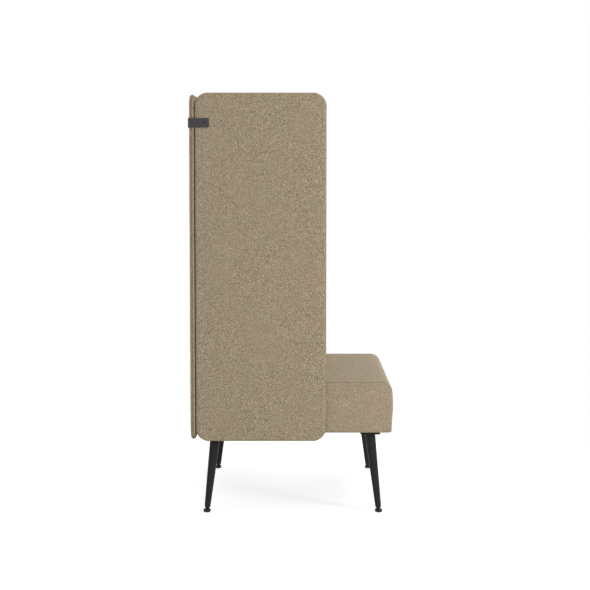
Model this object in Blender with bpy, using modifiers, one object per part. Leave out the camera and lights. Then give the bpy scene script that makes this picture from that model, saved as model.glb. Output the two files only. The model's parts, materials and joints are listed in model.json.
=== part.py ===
"""High back privacy chair: an upholstered seat on four splayed steel legs, held inside a tall back
screen and two tall side screens.

Metres, +Z up. The origin is on the floor, in the middle of the chair's width and depth. The chair
faces -Y, and right and left are the sitter's own, so right is -X.
"""

import math

import bmesh
import bpy
from mathutils import Matrix, Vector

MM = 0.001

# Clearance between pieces that touch
FIT = 0.3 * MM

# Seat
SEAT_WIDTH = 640 * MM
SEAT_DEPTH = 643.6 * MM
SEAT_THICKNESS = 166 * MM
SEAT_SEAM_HEIGHT = 432 * MM
SEAT_CROWN = 9 * MM
SEAT_FRONT_BULGE = 3 * MM
SEAT_NOSE_RADIUS = 28 * MM
SEAT_EDGE_RADIUS = 12 * MM
SEAT_PADDING = 12 * MM
SEAT_FOAM_THICKNESS = 50 * MM
SEAT_DECK_THICKNESS = 12 * MM
SEAT_RAIL_THICKNESS = 20 * MM
BASE_BOARD_THICKNESS = 12 * MM
BASE_BOARD_DROP = 3 * MM

# Backrest cushion
BACKREST_HEIGHT = 470 * MM
BACKREST_BOTTOM_DEPTH = 110 * MM
BACKREST_TOP_DEPTH = 72 * MM
BACKREST_SIDE_GAP = 3 * MM
BACKREST_CROWN = 14 * MM
BACKREST_TOP_CROWN = 3 * MM
BACKREST_DRAW_IN = 4 * MM
BACKREST_EDGE_RADIUS = 24 * MM
BACKREST_REAR_RADIUS = 8 * MM
BACKREST_BOARD_THICKNESS = 12 * MM
BACKREST_BOARD_INSET = 26 * MM

# Sewn side panel of a cushion: (distance in from the side, distance in from the outline), from the
# panel's middle over its rolled edge and the seam groove to the wrap's full outline
SEAM_RINGS = (
    (0.0 * MM, 24.0 * MM),
    (1.0 * MM, 12.0 * MM),
    (3.0 * MM, 5.0 * MM),
    (6.0 * MM, 3.6 * MM),
    (6.8 * MM, 1.2 * MM),
    (11.0 * MM, 0.0 * MM),
)
CUSHION_STATIONS = (-0.84, -0.6, -0.3, 0.0, 0.3, 0.6, 0.84)
CUSHION_ARC_STEPS = 5
SMALLEST_ROUNDING = 1.5 * MM

# Screens
SCREEN_THICKNESS = 17 * MM
SCREEN_BOTTOM = 242.4 * MM
SCREEN_HEIGHT = 1134.6 * MM
BACK_SCREEN_DROP = 4 * MM
SIDE_SCREEN_DEPTH = 426.8 * MM
SCREEN_CORNER_RADIUS = 43.5 * MM
SCREEN_CORNER_STEPS = 8
SCREEN_EDGE_RADIUS = 5.5 * MM
SCREEN_EDGE_STEPS = 3
SCREEN_CORE_THICKNESS = 8 * MM
SCREEN_EDGE_PADDING = 9 * MM

# Corner clips
CLIP_THICKNESS = 2.5 * MM
CLIP_ARM = 68 * MM
CLIP_WIDTH = 30.6 * MM
CLIP_BELOW_TOP = 97 * MM
CLIP_END_RADIUS = 6 * MM
CLIP_BEND_RADIUS = 3 * MM
CLIP_SCREW_FROM_END = 15 * MM
SCREW_HEAD_RADIUS = 4 * MM
SCREW_HEAD_DEPTH = 2 * MM
SCREW_SHANK_RADIUS = 2 * MM
SCREW_LENGTH = 14 * MM
SCREW_POINT = 2 * MM
SCREW_SOCKET_RADIUS = 1.6 * MM
SCREW_SOCKET_DEPTH = 1.4 * MM
SCREW_SEGMENTS = 12

# Screen brackets under the seat
BRACKET_THICKNESS = 3 * MM
BRACKET_SEAT_ARM = 42 * MM
BRACKET_SCREEN_ARM = 18 * MM
BRACKET_WIDTH = 40 * MM
BRACKET_END_RADIUS = 4 * MM
BRACKET_BEND_RADIUS = 3 * MM
BRACKET_HOLE_RADIUS = 2.6 * MM
BRACKET_HOLE_SPACING = 22 * MM
BRACKET_HOLE_FROM_END = 11 * MM
BRACKET_SCREEN_HOLE_FROM_END = 7 * MM
SIDE_BRACKET_FROM_FRONT = 51.55 * MM
SIDE_BRACKET_FROM_REAR = 168.25 * MM
BACK_BRACKET_SPREAD = 320 * MM

# Legs
LEG_PLATE_SIZE = 66 * MM
LEG_PLATE_THICKNESS = 4 * MM
LEG_PLATE_CORNER = 8 * MM
LEG_PLATE_HOLE_RADIUS = 3 * MM
LEG_PLATE_HOLE_PITCH = 50 * MM
LEG_INSET_SIDE = 40.4 * MM
LEG_INSET_FRONT = 70 * MM
LEG_INSET_REAR = 62.5 * MM
LEG_SPLAY = 28 * MM
LEG_TOP_RADIUS = 17.2 * MM
LEG_BOTTOM_RADIUS = 9.8 * MM
LEG_WALL = 1.6 * MM
LEG_END_CHAMFER = 0.5 * MM
LEG_SEGMENTS = 24

# Levelling glides: heights along the leg are from the centre of the glide's ball
BALL_HEIGHT = 7 * MM
BALL_RADIUS = 4.6 * MM
BALL_TOP = 3 * MM
SOCKET_RADIUS = 5 * MM
SOCKET_MOUTH = 2.5 * MM
PAD_TOP = 4.2 * MM
PAD_OPENING_RADIUS = 4.55 * MM
PAD_COLLAR_RADIUS = 5.4 * MM
PAD_RIM_RADIUS = 12 * MM
PAD_RIM_TOP = -0.6 * MM
PAD_RIM_BOTTOM = -1.8 * MM
PAD_FOOT_RADIUS = 9.8 * MM
PIN_RADIUS = 2.2 * MM
PIN_BORE_RADIUS = 2.55 * MM
PIN_BORE_DEPTH = 5.9 * MM
NECK_RADIUS = 3 * MM
NUT_BOTTOM = 6.1 * MM
NUT_HEIGHT = 3.2 * MM
NUT_ACROSS_FLATS = 10 * MM
THREAD_RADIUS = 3.95 * MM
THREAD_LENGTH = 28 * MM
THREAD_CHAMFER = 0.8 * MM
INSERT_BORE_RADIUS = 4.35 * MM
INSERT_LENGTH = 18 * MM
GLIDE_SEGMENTS = 16
BALL_STEPS = 6
SOCKET_STEPS = 6

# Places that follow from the sizes above
OVERALL_DEPTH = SEAT_FRONT_BULGE + SEAT_DEPTH + FIT + SCREEN_THICKNESS + FIT + CLIP_THICKNESS
SEAT_FRONT = SEAT_FRONT_BULGE - OVERALL_DEPTH / 2
SEAT_REAR = SEAT_FRONT + SEAT_DEPTH
SEAT_HALF = SEAT_WIDTH / 2
SEAT_UNDERSIDE = SEAT_SEAM_HEIGHT - SEAT_THICKNESS
SIDE_SCREEN_INNER = SEAT_HALF + FIT
SIDE_SCREEN_OUTER = SIDE_SCREEN_INNER + SCREEN_THICKNESS
BACK_SCREEN_INNER = SEAT_REAR + FIT
BACK_SCREEN_OUTER = BACK_SCREEN_INNER + SCREEN_THICKNESS
SCREEN_MIDDLE = SCREEN_BOTTOM + SCREEN_HEIGHT / 2
SCREEN_TOP = SCREEN_BOTTOM + SCREEN_HEIGHT
BACK_SCREEN_HEIGHT = SCREEN_HEIGHT - BACK_SCREEN_DROP
BACK_SCREEN_MIDDLE = SCREEN_BOTTOM + BACK_SCREEN_HEIGHT / 2
SIDE_SCREEN_FRONT = SEAT_REAR - SIDE_SCREEN_DEPTH
BASE_BOTTOM = SEAT_UNDERSIDE - BASE_BOARD_DROP
BASE_TOP = BASE_BOTTOM + BASE_BOARD_THICKNESS
CAVITY_TOP = SEAT_SEAM_HEIGHT - SEAT_PADDING
FOAM_BOTTOM = CAVITY_TOP - FIT - SEAT_FOAM_THICKNESS
DECK_TOP = FOAM_BOTTOM - FIT
DECK_BOTTOM = DECK_TOP - SEAT_DECK_THICKNESS
BLOCK_HALF = SEAT_HALF - SEAT_PADDING - FIT
BLOCK_FRONT = SEAT_FRONT + SEAT_PADDING + FIT
BLOCK_REAR = SEAT_REAR - SEAT_PADDING - FIT
BACKREST_BOTTOM = SEAT_SEAM_HEIGHT + SEAT_CROWN + FIT
PLATE_TOP = BASE_BOTTOM - FIT
PLATE_BOTTOM = PLATE_TOP - LEG_PLATE_THICKNESS
NUT_TOP = NUT_BOTTOM + NUT_HEIGHT
LEG_END = NUT_TOP + FIT
LEG_RISE = PLATE_BOTTOM - BALL_HEIGHT
LEG_LEAN = math.atan2(LEG_SPLAY * math.sqrt(2), LEG_RISE)
LEG_LENGTH = LEG_RISE / math.cos(LEG_LEAN)

X_AXIS = Vector((1, 0, 0))
Y_AXIS = Vector((0, 1, 0))
Z_AXIS = Vector((0, 0, 1))

parts = bpy.data.collections.new("high_back_privacy_chair")
cutters = bpy.data.collections.new("cutters")


def clear_scene():
    """Start from an empty scene with one collection for the parts and one for the cutters."""
    for item in list(bpy.data.objects):
        bpy.data.objects.remove(item, do_unlink=True)
    for collection in (parts, cutters):
        bpy.context.scene.collection.children.link(collection)


def material(name, colour, roughness, metallic=0.0):
    """A Principled material of one plain colour."""
    made = bpy.data.materials.new(name)
    made.use_nodes = True
    shader = made.node_tree.nodes["Principled BSDF"]
    shader.inputs["Base Color"].default_value = (*colour, 1.0)
    shader.inputs["Roughness"].default_value = roughness
    shader.inputs["Metallic"].default_value = metallic
    return made


def add_part(name, mesh, finish, parent=None):
    """Put a mesh into the parts collection as a named piece."""
    piece = bpy.data.objects.new(name, mesh)
    parts.objects.link(piece)
    piece.parent = parent
    if not mesh.materials:
        mesh.materials.append(finish)
    return piece


def add_cutter(name, mesh, matrix=None, parent=None):
    """Put a mesh into the cutters collection, out of every view but the wireframe."""
    cutter = bpy.data.objects.new(name, mesh)
    cutters.objects.link(cutter)
    cutter.parent = parent
    cutter.matrix_local = matrix or Matrix.Identity(4)
    cutter.hide_render = True
    cutter.display_type = "WIRE"
    return cutter


def add_empty(name, matrix):
    """An empty that carries a group of pieces."""
    empty = bpy.data.objects.new(name, None)
    parts.objects.link(empty)
    empty.matrix_world = matrix
    return empty


def cut(piece, cutter, operation="DIFFERENCE"):
    """Cut a piece with a cutter, or join the cutter to it."""
    boolean = piece.modifiers.new(cutter.name, "BOOLEAN")
    boolean.operation = operation
    boolean.object = cutter
    boolean.solver = "EXACT"


def frame_matrix(origin, x_axis, y_axis):
    """The matrix of a frame from its origin and its first two axes."""
    columns = (x_axis, y_axis, x_axis.cross(y_axis), origin)
    matrix = Matrix.Identity(4)
    for index, column in enumerate(columns):
        for row in range(3):
            matrix[row][index] = column[row]
    return matrix


def baked(piece):
    """The mesh of a piece with its modifiers applied; the piece itself is removed."""
    bpy.context.view_layer.update()
    depsgraph = bpy.context.evaluated_depsgraph_get()
    mesh = bpy.data.meshes.new_from_object(piece.evaluated_get(depsgraph))
    mesh.name = piece.name
    bpy.data.objects.remove(piece)
    return mesh


def smooth(mesh, angle=35):
    """Shade a mesh smooth, with edges sharper than the angle left crisp."""
    mesh.shade_smooth()
    mesh.set_sharp_from_angle(angle=math.radians(angle))
    return mesh


def mesh_from(name, body):
    """Finish a bmesh as a mesh with its faces pointing outwards."""
    bmesh.ops.recalc_face_normals(body, faces=body.faces)
    mesh = bpy.data.meshes.new(name)
    body.to_mesh(mesh)
    body.free()
    return mesh


def box_mesh(name, low, high):
    """A box between two corners."""
    body = bmesh.new()
    size = Vector(high) - Vector(low)
    middle = (Vector(high) + Vector(low)) / 2
    place = Matrix.Translation(middle) @ Matrix.Diagonal((*size, 1))
    bmesh.ops.create_cube(body, size=1, matrix=place)
    return mesh_from(name, body)


def cylinder_mesh(name, radius, low, high, segments):
    """An upright cylinder between two heights."""
    body = bmesh.new()
    middle = Matrix.Translation((0, 0, (low + high) / 2))
    bmesh.ops.create_cone(
        body,
        cap_ends=True,
        segments=segments,
        radius1=radius,
        radius2=radius,
        depth=high - low,
        matrix=middle,
    )
    return mesh_from(name, body)


def turned_mesh(name, profile, segments, closed=False):
    """A mesh turned round Z from (radius, height) points that run down its outer side."""
    points = [(radius, 0, height) for radius, height in profile]
    edges = [(index, index + 1) for index in range(len(points) - 1)]
    if closed:
        edges.append((len(points) - 1, 0))
    mesh = bpy.data.meshes.new(name)
    mesh.from_pydata(points, edges, [])
    piece = bpy.data.objects.new(name, mesh)
    parts.objects.link(piece)
    screw = piece.modifiers.new("turn", "SCREW")
    screw.steps = segments
    screw.render_steps = segments
    screw.use_merge_vertices = True
    screw.merge_threshold = 0.00001
    return smooth(baked(piece))


def extruded_mesh(name, points, thickness):
    """A flat outline in the XY plane with a thickness, centred on the plane."""
    curve = bpy.data.curves.new(name, "CURVE")
    curve.dimensions = "2D"
    curve.fill_mode = "BOTH"
    curve.extrude = thickness / 2
    spline = curve.splines.new("POLY")
    spline.points.add(len(points) - 1)
    spline.use_cyclic_u = True
    for place, (x, y) in zip(spline.points, points):
        place.co = (x, y, 0, 1)
    piece = bpy.data.objects.new(name, curve)
    parts.objects.link(piece)
    mesh = baked(piece)
    bpy.data.curves.remove(curve)
    body = bmesh.new()
    body.from_mesh(mesh)
    bpy.data.meshes.remove(mesh)
    bmesh.ops.remove_doubles(body, verts=body.verts, dist=0.00001)
    return mesh_from(name, body)


def bevel_edges(mesh, chosen, radius, steps):
    """Round the edges of a mesh that a test picks by their two end points."""
    body = bmesh.new()
    body.from_mesh(mesh)
    edges = [edge for edge in body.edges if chosen(edge.verts[0].co, edge.verts[1].co)]
    bmesh.ops.bevel(body, geom=edges, offset=radius, segments=steps, profile=0.5, affect="EDGES")
    body.to_mesh(mesh)
    body.free()
    return mesh


def same(first, second):
    """Whether two lengths are equal within a hundredth of a millimetre."""
    return abs(first - second) < 0.01 * MM


def panel_mesh(name, width, height, low, high, corner_radius):
    """A plate in its own XY plane with round corners."""
    mesh = box_mesh(name, (-width / 2, -height / 2, low), (width / 2, height / 2, high))
    return bevel_edges(
        mesh,
        lambda a, b: same(a.x, b.x) and same(a.y, b.y),
        corner_radius,
        SCREEN_CORNER_STEPS,
    )


def rounded_outline(corners, radii, splits, inset):
    """Points anticlockwise round a convex outline with round corners, all moved inwards by the inset."""
    arcs = []
    for index, corner in enumerate(corners):
        before = (corner - corners[index - 1]).normalized()
        after = (corners[(index + 1) % len(corners)] - corner).normalized()
        inward_before = Vector((-before.y, before.x))
        inward_after = Vector((-after.y, after.x))
        radius = max(radii[index] - inset, SMALLEST_ROUNDING)
        reach = (inset + radius) / (1 + inward_before.dot(inward_after))
        centre = corner + (inward_before + inward_after) * reach
        start = math.atan2(-inward_before.y, -inward_before.x)
        turn = math.acos(inward_before.dot(inward_after))
        angles = (start + turn * step / CUSHION_ARC_STEPS for step in range(CUSHION_ARC_STEPS + 1))
        arcs.append([centre + Vector((math.cos(angle), math.sin(angle))) * radius for angle in angles])
    points = []
    for index, arc in enumerate(arcs):
        points.extend(arc)
        start, end = arc[-1], arcs[(index + 1) % len(arcs)][0]
        points.extend(start.lerp(end, step / splits[index]) for step in range(1, splits[index]))
    return points


def cushion_mesh(name, width, corners, radii, splits, swells, draw_in=0.0):
    """A crowned cushion with sewn side panels, lofted across its width from its outline in the YZ plane.

    Each swell is (axis, way, height): the face that looks that way along Y (0) or Z (1) rises by the
    height in its middle and by nothing at its edges. The sides are drawn in at half height.
    """
    half = width / 2
    low = Vector([min(corner[axis] for corner in corners) for axis in (0, 1)])
    high = Vector([max(corner[axis] for corner in corners) for axis in (0, 1)])
    middle, reach = (low + high) / 2, (high - low) / 2

    def swollen(x, point):
        across = 1 - (x / half) ** 4
        place = [(point[axis] - middle[axis]) / reach[axis] for axis in (0, 1)]
        moved = Vector(point)
        for axis, way, height in swells:
            facing = max(0.0, way * place[axis])
            moved[axis] += way * height * facing * across * max(0.0, 1 - place[1 - axis] ** 4)
        drawn = x * (1 - draw_in / half * max(0.0, 1 - place[1] ** 2))
        return drawn, moved.x, moved.y

    right = [(depth - half, inset) for depth, inset in SEAM_RINGS]
    inner = [(fraction * half, 0.0) for fraction in CUSHION_STATIONS]
    left = [(-x, inset) for x, inset in reversed(right)]
    body = bmesh.new()
    rings = []
    for x, inset in right + inner + left:
        outline = rounded_outline(corners, radii, splits, inset)
        rings.append([body.verts.new(swollen(x, point)) for point in outline])
    count = len(rings[0])
    for ring, following in zip(rings, rings[1:]):
        for index in range(count):
            after = (index + 1) % count
            body.faces.new((ring[index], ring[after], following[after], following[index]))
    body.faces.new(rings[0])
    body.faces.new(rings[-1])
    return smooth(mesh_from(name, body), 50)


def angle_mesh(name, first_arm, second_arm, thickness, width, bend_radius, end_radius):
    """A folded strap: outer corner on the Z axis, arms along +X and +Y, width centred on the XY plane."""
    outline = [
        (0, 0),
        (first_arm, 0),
        (first_arm, thickness),
        (thickness, thickness),
        (thickness, second_arm),
        (0, second_arm),
    ]
    mesh = extruded_mesh(name, outline, width)
    bevel_edges(
        mesh,
        lambda a, b: same(a.z, b.z)
        and (min(a.x, b.x) > first_arm - 0.01 * MM or min(a.y, b.y) > second_arm - 0.01 * MM),
        end_radius,
        3,
    )
    bevel_edges(
        mesh,
        lambda a, b: max(abs(a.x), abs(b.x), abs(a.y), abs(b.y)) < 0.01 * MM,
        bend_radius,
        3,
    )
    return smooth(mesh)


def build_seat(fabric, foam, wood, board):
    """The sewn cover over its foam, deck board, rails and base board."""
    corners = [
        Vector((SEAT_FRONT, SEAT_UNDERSIDE)),
        Vector((SEAT_REAR, SEAT_UNDERSIDE)),
        Vector((SEAT_REAR, SEAT_SEAM_HEIGHT)),
        Vector((SEAT_FRONT, SEAT_SEAM_HEIGHT)),
    ]
    radii = (SEAT_EDGE_RADIUS, SEAT_EDGE_RADIUS, SEAT_EDGE_RADIUS, SEAT_NOSE_RADIUS)
    swells = ((1, 1, SEAT_CROWN), (0, -1, SEAT_FRONT_BULGE))
    cover = cushion_mesh("seat_cover", SEAT_WIDTH, corners, radii, (1, 1, 8, 4), swells)
    cavity_low = (-BLOCK_HALF - FIT, BLOCK_FRONT - FIT, BASE_BOTTOM - BASE_BOARD_THICKNESS)
    cavity_high = (BLOCK_HALF + FIT, BLOCK_REAR + FIT, CAVITY_TOP)
    cavity = add_cutter("seat_cavity", box_mesh("c", cavity_low, cavity_high))
    cut(add_part("seat_cover", cover, fabric), cavity)

    def block(name, x_low, x_high, y_low, y_high, z_low, z_high, finish):
        add_part(name, box_mesh(name, (x_low, y_low, z_low), (x_high, y_high, z_high)), finish)

    rail_low, rail_high = BASE_TOP + FIT, DECK_BOTTOM - FIT
    front_inner = BLOCK_FRONT + SEAT_RAIL_THICKNESS
    rear_inner = BLOCK_REAR - SEAT_RAIL_THICKNESS
    side_inner = BLOCK_HALF - SEAT_RAIL_THICKNESS
    centre_half = SEAT_RAIL_THICKNESS / 2
    whole = (-BLOCK_HALF, BLOCK_HALF, BLOCK_FRONT, BLOCK_REAR)
    between = (front_inner + FIT, rear_inner - FIT, rail_low, rail_high, wood)
    block("seat_foam", *whole, FOAM_BOTTOM, CAVITY_TOP - FIT, foam)
    block("seat_deck", *whole, DECK_BOTTOM, DECK_TOP, wood)
    block("seat_base_board", *whole, BASE_BOTTOM, BASE_TOP, board)
    rail = (rail_low, rail_high, wood)
    block("seat_front_rail", -BLOCK_HALF, BLOCK_HALF, BLOCK_FRONT, front_inner, *rail)
    block("seat_rear_rail", -BLOCK_HALF, BLOCK_HALF, rear_inner, BLOCK_REAR, *rail)
    block("seat_right_rail", -BLOCK_HALF, -side_inner, *between)
    block("seat_left_rail", side_inner, BLOCK_HALF, *between)
    block("seat_centre_rail", -centre_half, centre_half, *between)


def build_backrest(fabric, wood):
    """The backrest cushion and the board let into its rear face."""
    top = BACKREST_BOTTOM + BACKREST_HEIGHT
    corners = [
        Vector((SEAT_REAR - BACKREST_BOTTOM_DEPTH, BACKREST_BOTTOM)),
        Vector((SEAT_REAR, BACKREST_BOTTOM)),
        Vector((SEAT_REAR, top)),
        Vector((SEAT_REAR - BACKREST_TOP_DEPTH, top)),
    ]
    radii = (BACKREST_EDGE_RADIUS, BACKREST_REAR_RADIUS, BACKREST_REAR_RADIUS, BACKREST_EDGE_RADIUS)
    swells = ((0, -1, BACKREST_CROWN), (1, 1, BACKREST_TOP_CROWN))
    width = SEAT_WIDTH - 2 * BACKREST_SIDE_GAP
    splits = (1, 1, 2, 8)
    mesh = cushion_mesh("backrest_cushion", width, corners, radii, splits, swells, BACKREST_DRAW_IN)
    board_half = width / 2 - BACKREST_BOARD_INSET
    low = Vector((-board_half, SEAT_REAR - BACKREST_BOARD_THICKNESS, BACKREST_BOTTOM + BACKREST_BOARD_INSET))
    high = Vector((board_half, SEAT_REAR, top - BACKREST_BOARD_INSET))
    room = Vector((FIT, FIT, FIT))
    pocket = box_mesh("c", low - room, high + room + BACKREST_BOARD_THICKNESS * Y_AXIS)
    cut(add_part("backrest_cushion", mesh, fabric), add_cutter("backrest_pocket", pocket))
    add_part("backrest_board", box_mesh("backrest_board", low, high), wood)


def build_screen(name, middle, across, outward, width, height, fabric, wood):
    """A screen: a core board between an outer and an inner padded cover that meet round its edge."""
    frame = add_empty(name, frame_matrix(middle, across, outward.cross(across)))
    core_width = width - 2 * SCREEN_EDGE_PADDING
    core_height = height - 2 * SCREEN_EDGE_PADDING
    core_radius = SCREEN_CORNER_RADIUS - SCREEN_EDGE_PADDING
    core_half = SCREEN_CORE_THICKNESS / 2
    half = SCREEN_THICKNESS / 2
    board = panel_mesh(f"{name}_core", core_width, core_height, -core_half, core_half, core_radius)
    core = add_part(f"{name}_core", board, wood, frame)
    room_width, room_height, room_half = core_width + 2 * FIT, core_height + 2 * FIT, core_half + FIT
    room = panel_mesh("c", room_width, room_height, -room_half, room_half, core_radius + FIT)
    pocket = add_cutter(f"{name}_pocket", room, parent=frame)
    covers = []
    for side, way in (("outer", 1), ("inner", -1)):
        title = f"{name}_{side}_cover"
        cover = panel_mesh(title, width, height, FIT / 2, half, SCREEN_CORNER_RADIUS)
        bevel_edges(
            cover,
            lambda a, b: same(a.z, half) and same(b.z, half),
            SCREEN_EDGE_RADIUS,
            SCREEN_EDGE_STEPS,
        )
        if way < 0:
            cover.transform(Matrix.Rotation(math.pi, 4, "Y"))
        piece = add_part(title, smooth(cover), fabric, frame)
        cut(piece, pocket)
        covers.append(piece)
    return core, covers[0]


def build_clips(screens, steel):
    """The strap that holds each rear corner of the screens together, with a countersunk screw in each arm."""
    screw_profile = [
        (0, 0),
        (SCREW_HEAD_RADIUS, 0),
        (SCREW_SHANK_RADIUS, -SCREW_HEAD_DEPTH),
        (SCREW_SHANK_RADIUS, SCREW_POINT - SCREW_LENGTH),
        (0, -SCREW_LENGTH),
    ]
    hole_radius = SCREW_SHANK_RADIUS + FIT
    hole_profile = [
        (0, SCREW_HEAD_DEPTH),
        (SCREW_HEAD_RADIUS + SCREW_HEAD_DEPTH + FIT, SCREW_HEAD_DEPTH),
        (hole_radius + FIT, -SCREW_HEAD_DEPTH),
        (hole_radius + FIT, -SCREW_LENGTH - FIT),
        (0, -SCREW_LENGTH - FIT),
    ]
    blank = add_part("screw_blank", turned_mesh("screw_blank", screw_profile, SCREW_SEGMENTS), steel)
    socket = cylinder_mesh("c", SCREW_SOCKET_RADIUS, -SCREW_SOCKET_DEPTH, SCREW_HEAD_DEPTH, 6)
    socket_cutter = add_cutter("screw_socket", socket)
    cut(blank, socket_cutter)
    screw = baked(blank)
    bpy.data.objects.remove(socket_cutter)
    hole = turned_mesh("screw_hole", hole_profile, SCREW_SEGMENTS)
    strap = angle_mesh(
        "corner_clip", CLIP_ARM, CLIP_ARM, CLIP_THICKNESS, CLIP_WIDTH, CLIP_BEND_RADIUS, CLIP_END_RADIUS
    )
    corner_x = SIDE_SCREEN_OUTER + FIT + CLIP_THICKNESS
    corner_y = BACK_SCREEN_OUTER + FIT + CLIP_THICKNESS
    along = CLIP_ARM - CLIP_SCREW_FROM_END
    for name, way in (("right", -1), ("left", 1)):
        inwards = -way * X_AXIS
        corner = Vector((way * corner_x, corner_y, SCREEN_TOP - CLIP_BELOW_TOP))
        arms = (-Y_AXIS, inwards) if way < 0 else (inwards, -Y_AXIS)
        clip = add_part(f"{name}_corner_clip", strap.copy(), steel)
        clip.matrix_world = frame_matrix(corner, *arms)
        for screen, arm, outwards in ((name, -Y_AXIS, -inwards), ("back", inwards, Y_AXIS)):
            place = frame_matrix(corner + arm * along, Z_AXIS.cross(outwards), Z_AXIS)
            title = f"{name}_clip_{'back' if screen == 'back' else 'side'}_screw"
            add_part(title, screw, steel).matrix_world = place
            cutter = add_cutter(f"{title}_hole", hole, place)
            for piece in (clip, *screens[screen]):
                cut(piece, cutter)


def build_brackets(steel):
    """The angle brackets that fix the screens to the underside of the seat."""
    blank = add_part(
        "bracket_blank",
        angle_mesh(
            "screen_bracket",
            BRACKET_SEAT_ARM,
            BRACKET_SCREEN_ARM,
            BRACKET_THICKNESS,
            BRACKET_WIDTH,
            BRACKET_BEND_RADIUS,
            BRACKET_END_RADIUS,
        ),
        steel,
    )
    drill = cylinder_mesh("c", BRACKET_HOLE_RADIUS, -BRACKET_THICKNESS, 2 * BRACKET_THICKNESS, 10)
    drills = []
    for way in (-1, 1):
        across = way * BRACKET_HOLE_SPACING / 2
        seat_hole = Vector((BRACKET_SEAT_ARM - BRACKET_HOLE_FROM_END, 0, across))
        screen_hole = Vector((0, BRACKET_SCREEN_ARM - BRACKET_SCREEN_HOLE_FROM_END, across))
        drills.append(add_cutter("bracket_drill", drill, frame_matrix(seat_hole, Z_AXIS, X_AXIS)))
        drills.append(add_cutter("bracket_drill", drill, frame_matrix(screen_hole, Y_AXIS, Z_AXIS)))
    for cutter in drills:
        cut(blank, cutter)
    mesh = baked(blank)
    for cutter in drills:
        bpy.data.objects.remove(cutter)
    top = BASE_BOTTOM - FIT
    side_x = SIDE_SCREEN_INNER - FIT
    back_y = BACK_SCREEN_INNER - FIT
    front_y = SIDE_SCREEN_FRONT + SIDE_BRACKET_FROM_FRONT
    rear_y = SEAT_REAR - SIDE_BRACKET_FROM_REAR
    places = (
        ("right_front_bracket", Vector((-side_x, front_y, top)), X_AXIS),
        ("right_rear_bracket", Vector((-side_x, rear_y, top)), X_AXIS),
        ("left_front_bracket", Vector((side_x, front_y, top)), -X_AXIS),
        ("left_rear_bracket", Vector((side_x, rear_y, top)), -X_AXIS),
        ("back_right_bracket", Vector((-BACK_BRACKET_SPREAD / 2, back_y, top)), -Y_AXIS),
        ("back_left_bracket", Vector((BACK_BRACKET_SPREAD / 2, back_y, top)), -Y_AXIS),
    )
    for name, corner, inwards in places:
        add_part(name, mesh, steel).matrix_world = frame_matrix(corner, inwards, -Z_AXIS)


def leg_radius(height):
    """The leg's outer radius at a height along its axis."""
    share = (height - LEG_END) / (LEG_LENGTH - LEG_END)
    return LEG_BOTTOM_RADIUS + share * (LEG_TOP_RADIUS - LEG_BOTTOM_RADIUS)


def leg_mesh():
    """A tapered tube, square at the foot and cut level under its plate."""
    beyond = LEG_LENGTH + 2 * LEG_TOP_RADIUS
    profile = [
        (leg_radius(beyond), beyond),
        (leg_radius(LEG_END + LEG_END_CHAMFER), LEG_END + LEG_END_CHAMFER),
        (LEG_BOTTOM_RADIUS - LEG_END_CHAMFER, LEG_END),
        (LEG_BOTTOM_RADIUS - LEG_WALL, LEG_END),
        (leg_radius(beyond) - LEG_WALL, beyond),
    ]
    blank = add_part("leg_blank", turned_mesh("leg", profile, LEG_SEGMENTS, closed=True), None)
    size = 8 * LEG_TOP_RADIUS
    level = LEG_RISE - FIT
    tool = box_mesh("c", (-size, -size, level), (size, size, level + 2 * size))
    cutter = add_cutter("leg_level", tool, Matrix.Rotation(LEG_LEAN, 4, "Y"))
    cut(blank, cutter)
    mesh = baked(blank)
    bpy.data.objects.remove(cutter)
    mesh.materials.clear()
    return smooth(mesh)


def plate_mesh():
    """A square mounting plate with round corners and four screw holes, its top face at height zero."""
    half = LEG_PLATE_SIZE / 2
    mesh = box_mesh("leg_plate", (-half, -half, -LEG_PLATE_THICKNESS), (half, half, 0))
    bevel_edges(mesh, lambda a, b: same(a.x, b.x) and same(a.y, b.y), LEG_PLATE_CORNER, 4)
    blank = add_part("plate_blank", mesh, None)
    drill = cylinder_mesh("c", LEG_PLATE_HOLE_RADIUS, -2 * LEG_PLATE_THICKNESS, LEG_PLATE_THICKNESS, 10)
    reach = LEG_PLATE_HOLE_PITCH / 2
    drills = []
    for x, y in ((-reach, -reach), (reach, -reach), (reach, reach), (-reach, reach)):
        drills.append(add_cutter("plate_drill", drill, Matrix.Translation((x, y, 0))))
        cut(blank, drills[-1])
    made = baked(blank)
    for cutter in drills:
        bpy.data.objects.remove(cutter)
    made.materials.clear()
    return smooth(made)


def insert_mesh():
    """The threaded bush pressed into the leg's lower end, tapered to the tube's bore."""
    top = LEG_END + INSERT_LENGTH
    profile = [
        (leg_radius(top) - LEG_WALL - FIT, top),
        (LEG_BOTTOM_RADIUS - LEG_WALL - FIT, LEG_END),
        (INSERT_BORE_RADIUS, LEG_END),
        (INSERT_BORE_RADIUS, top),
    ]
    return turned_mesh("leg_insert", profile, GLIDE_SEGMENTS, closed=True)


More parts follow.
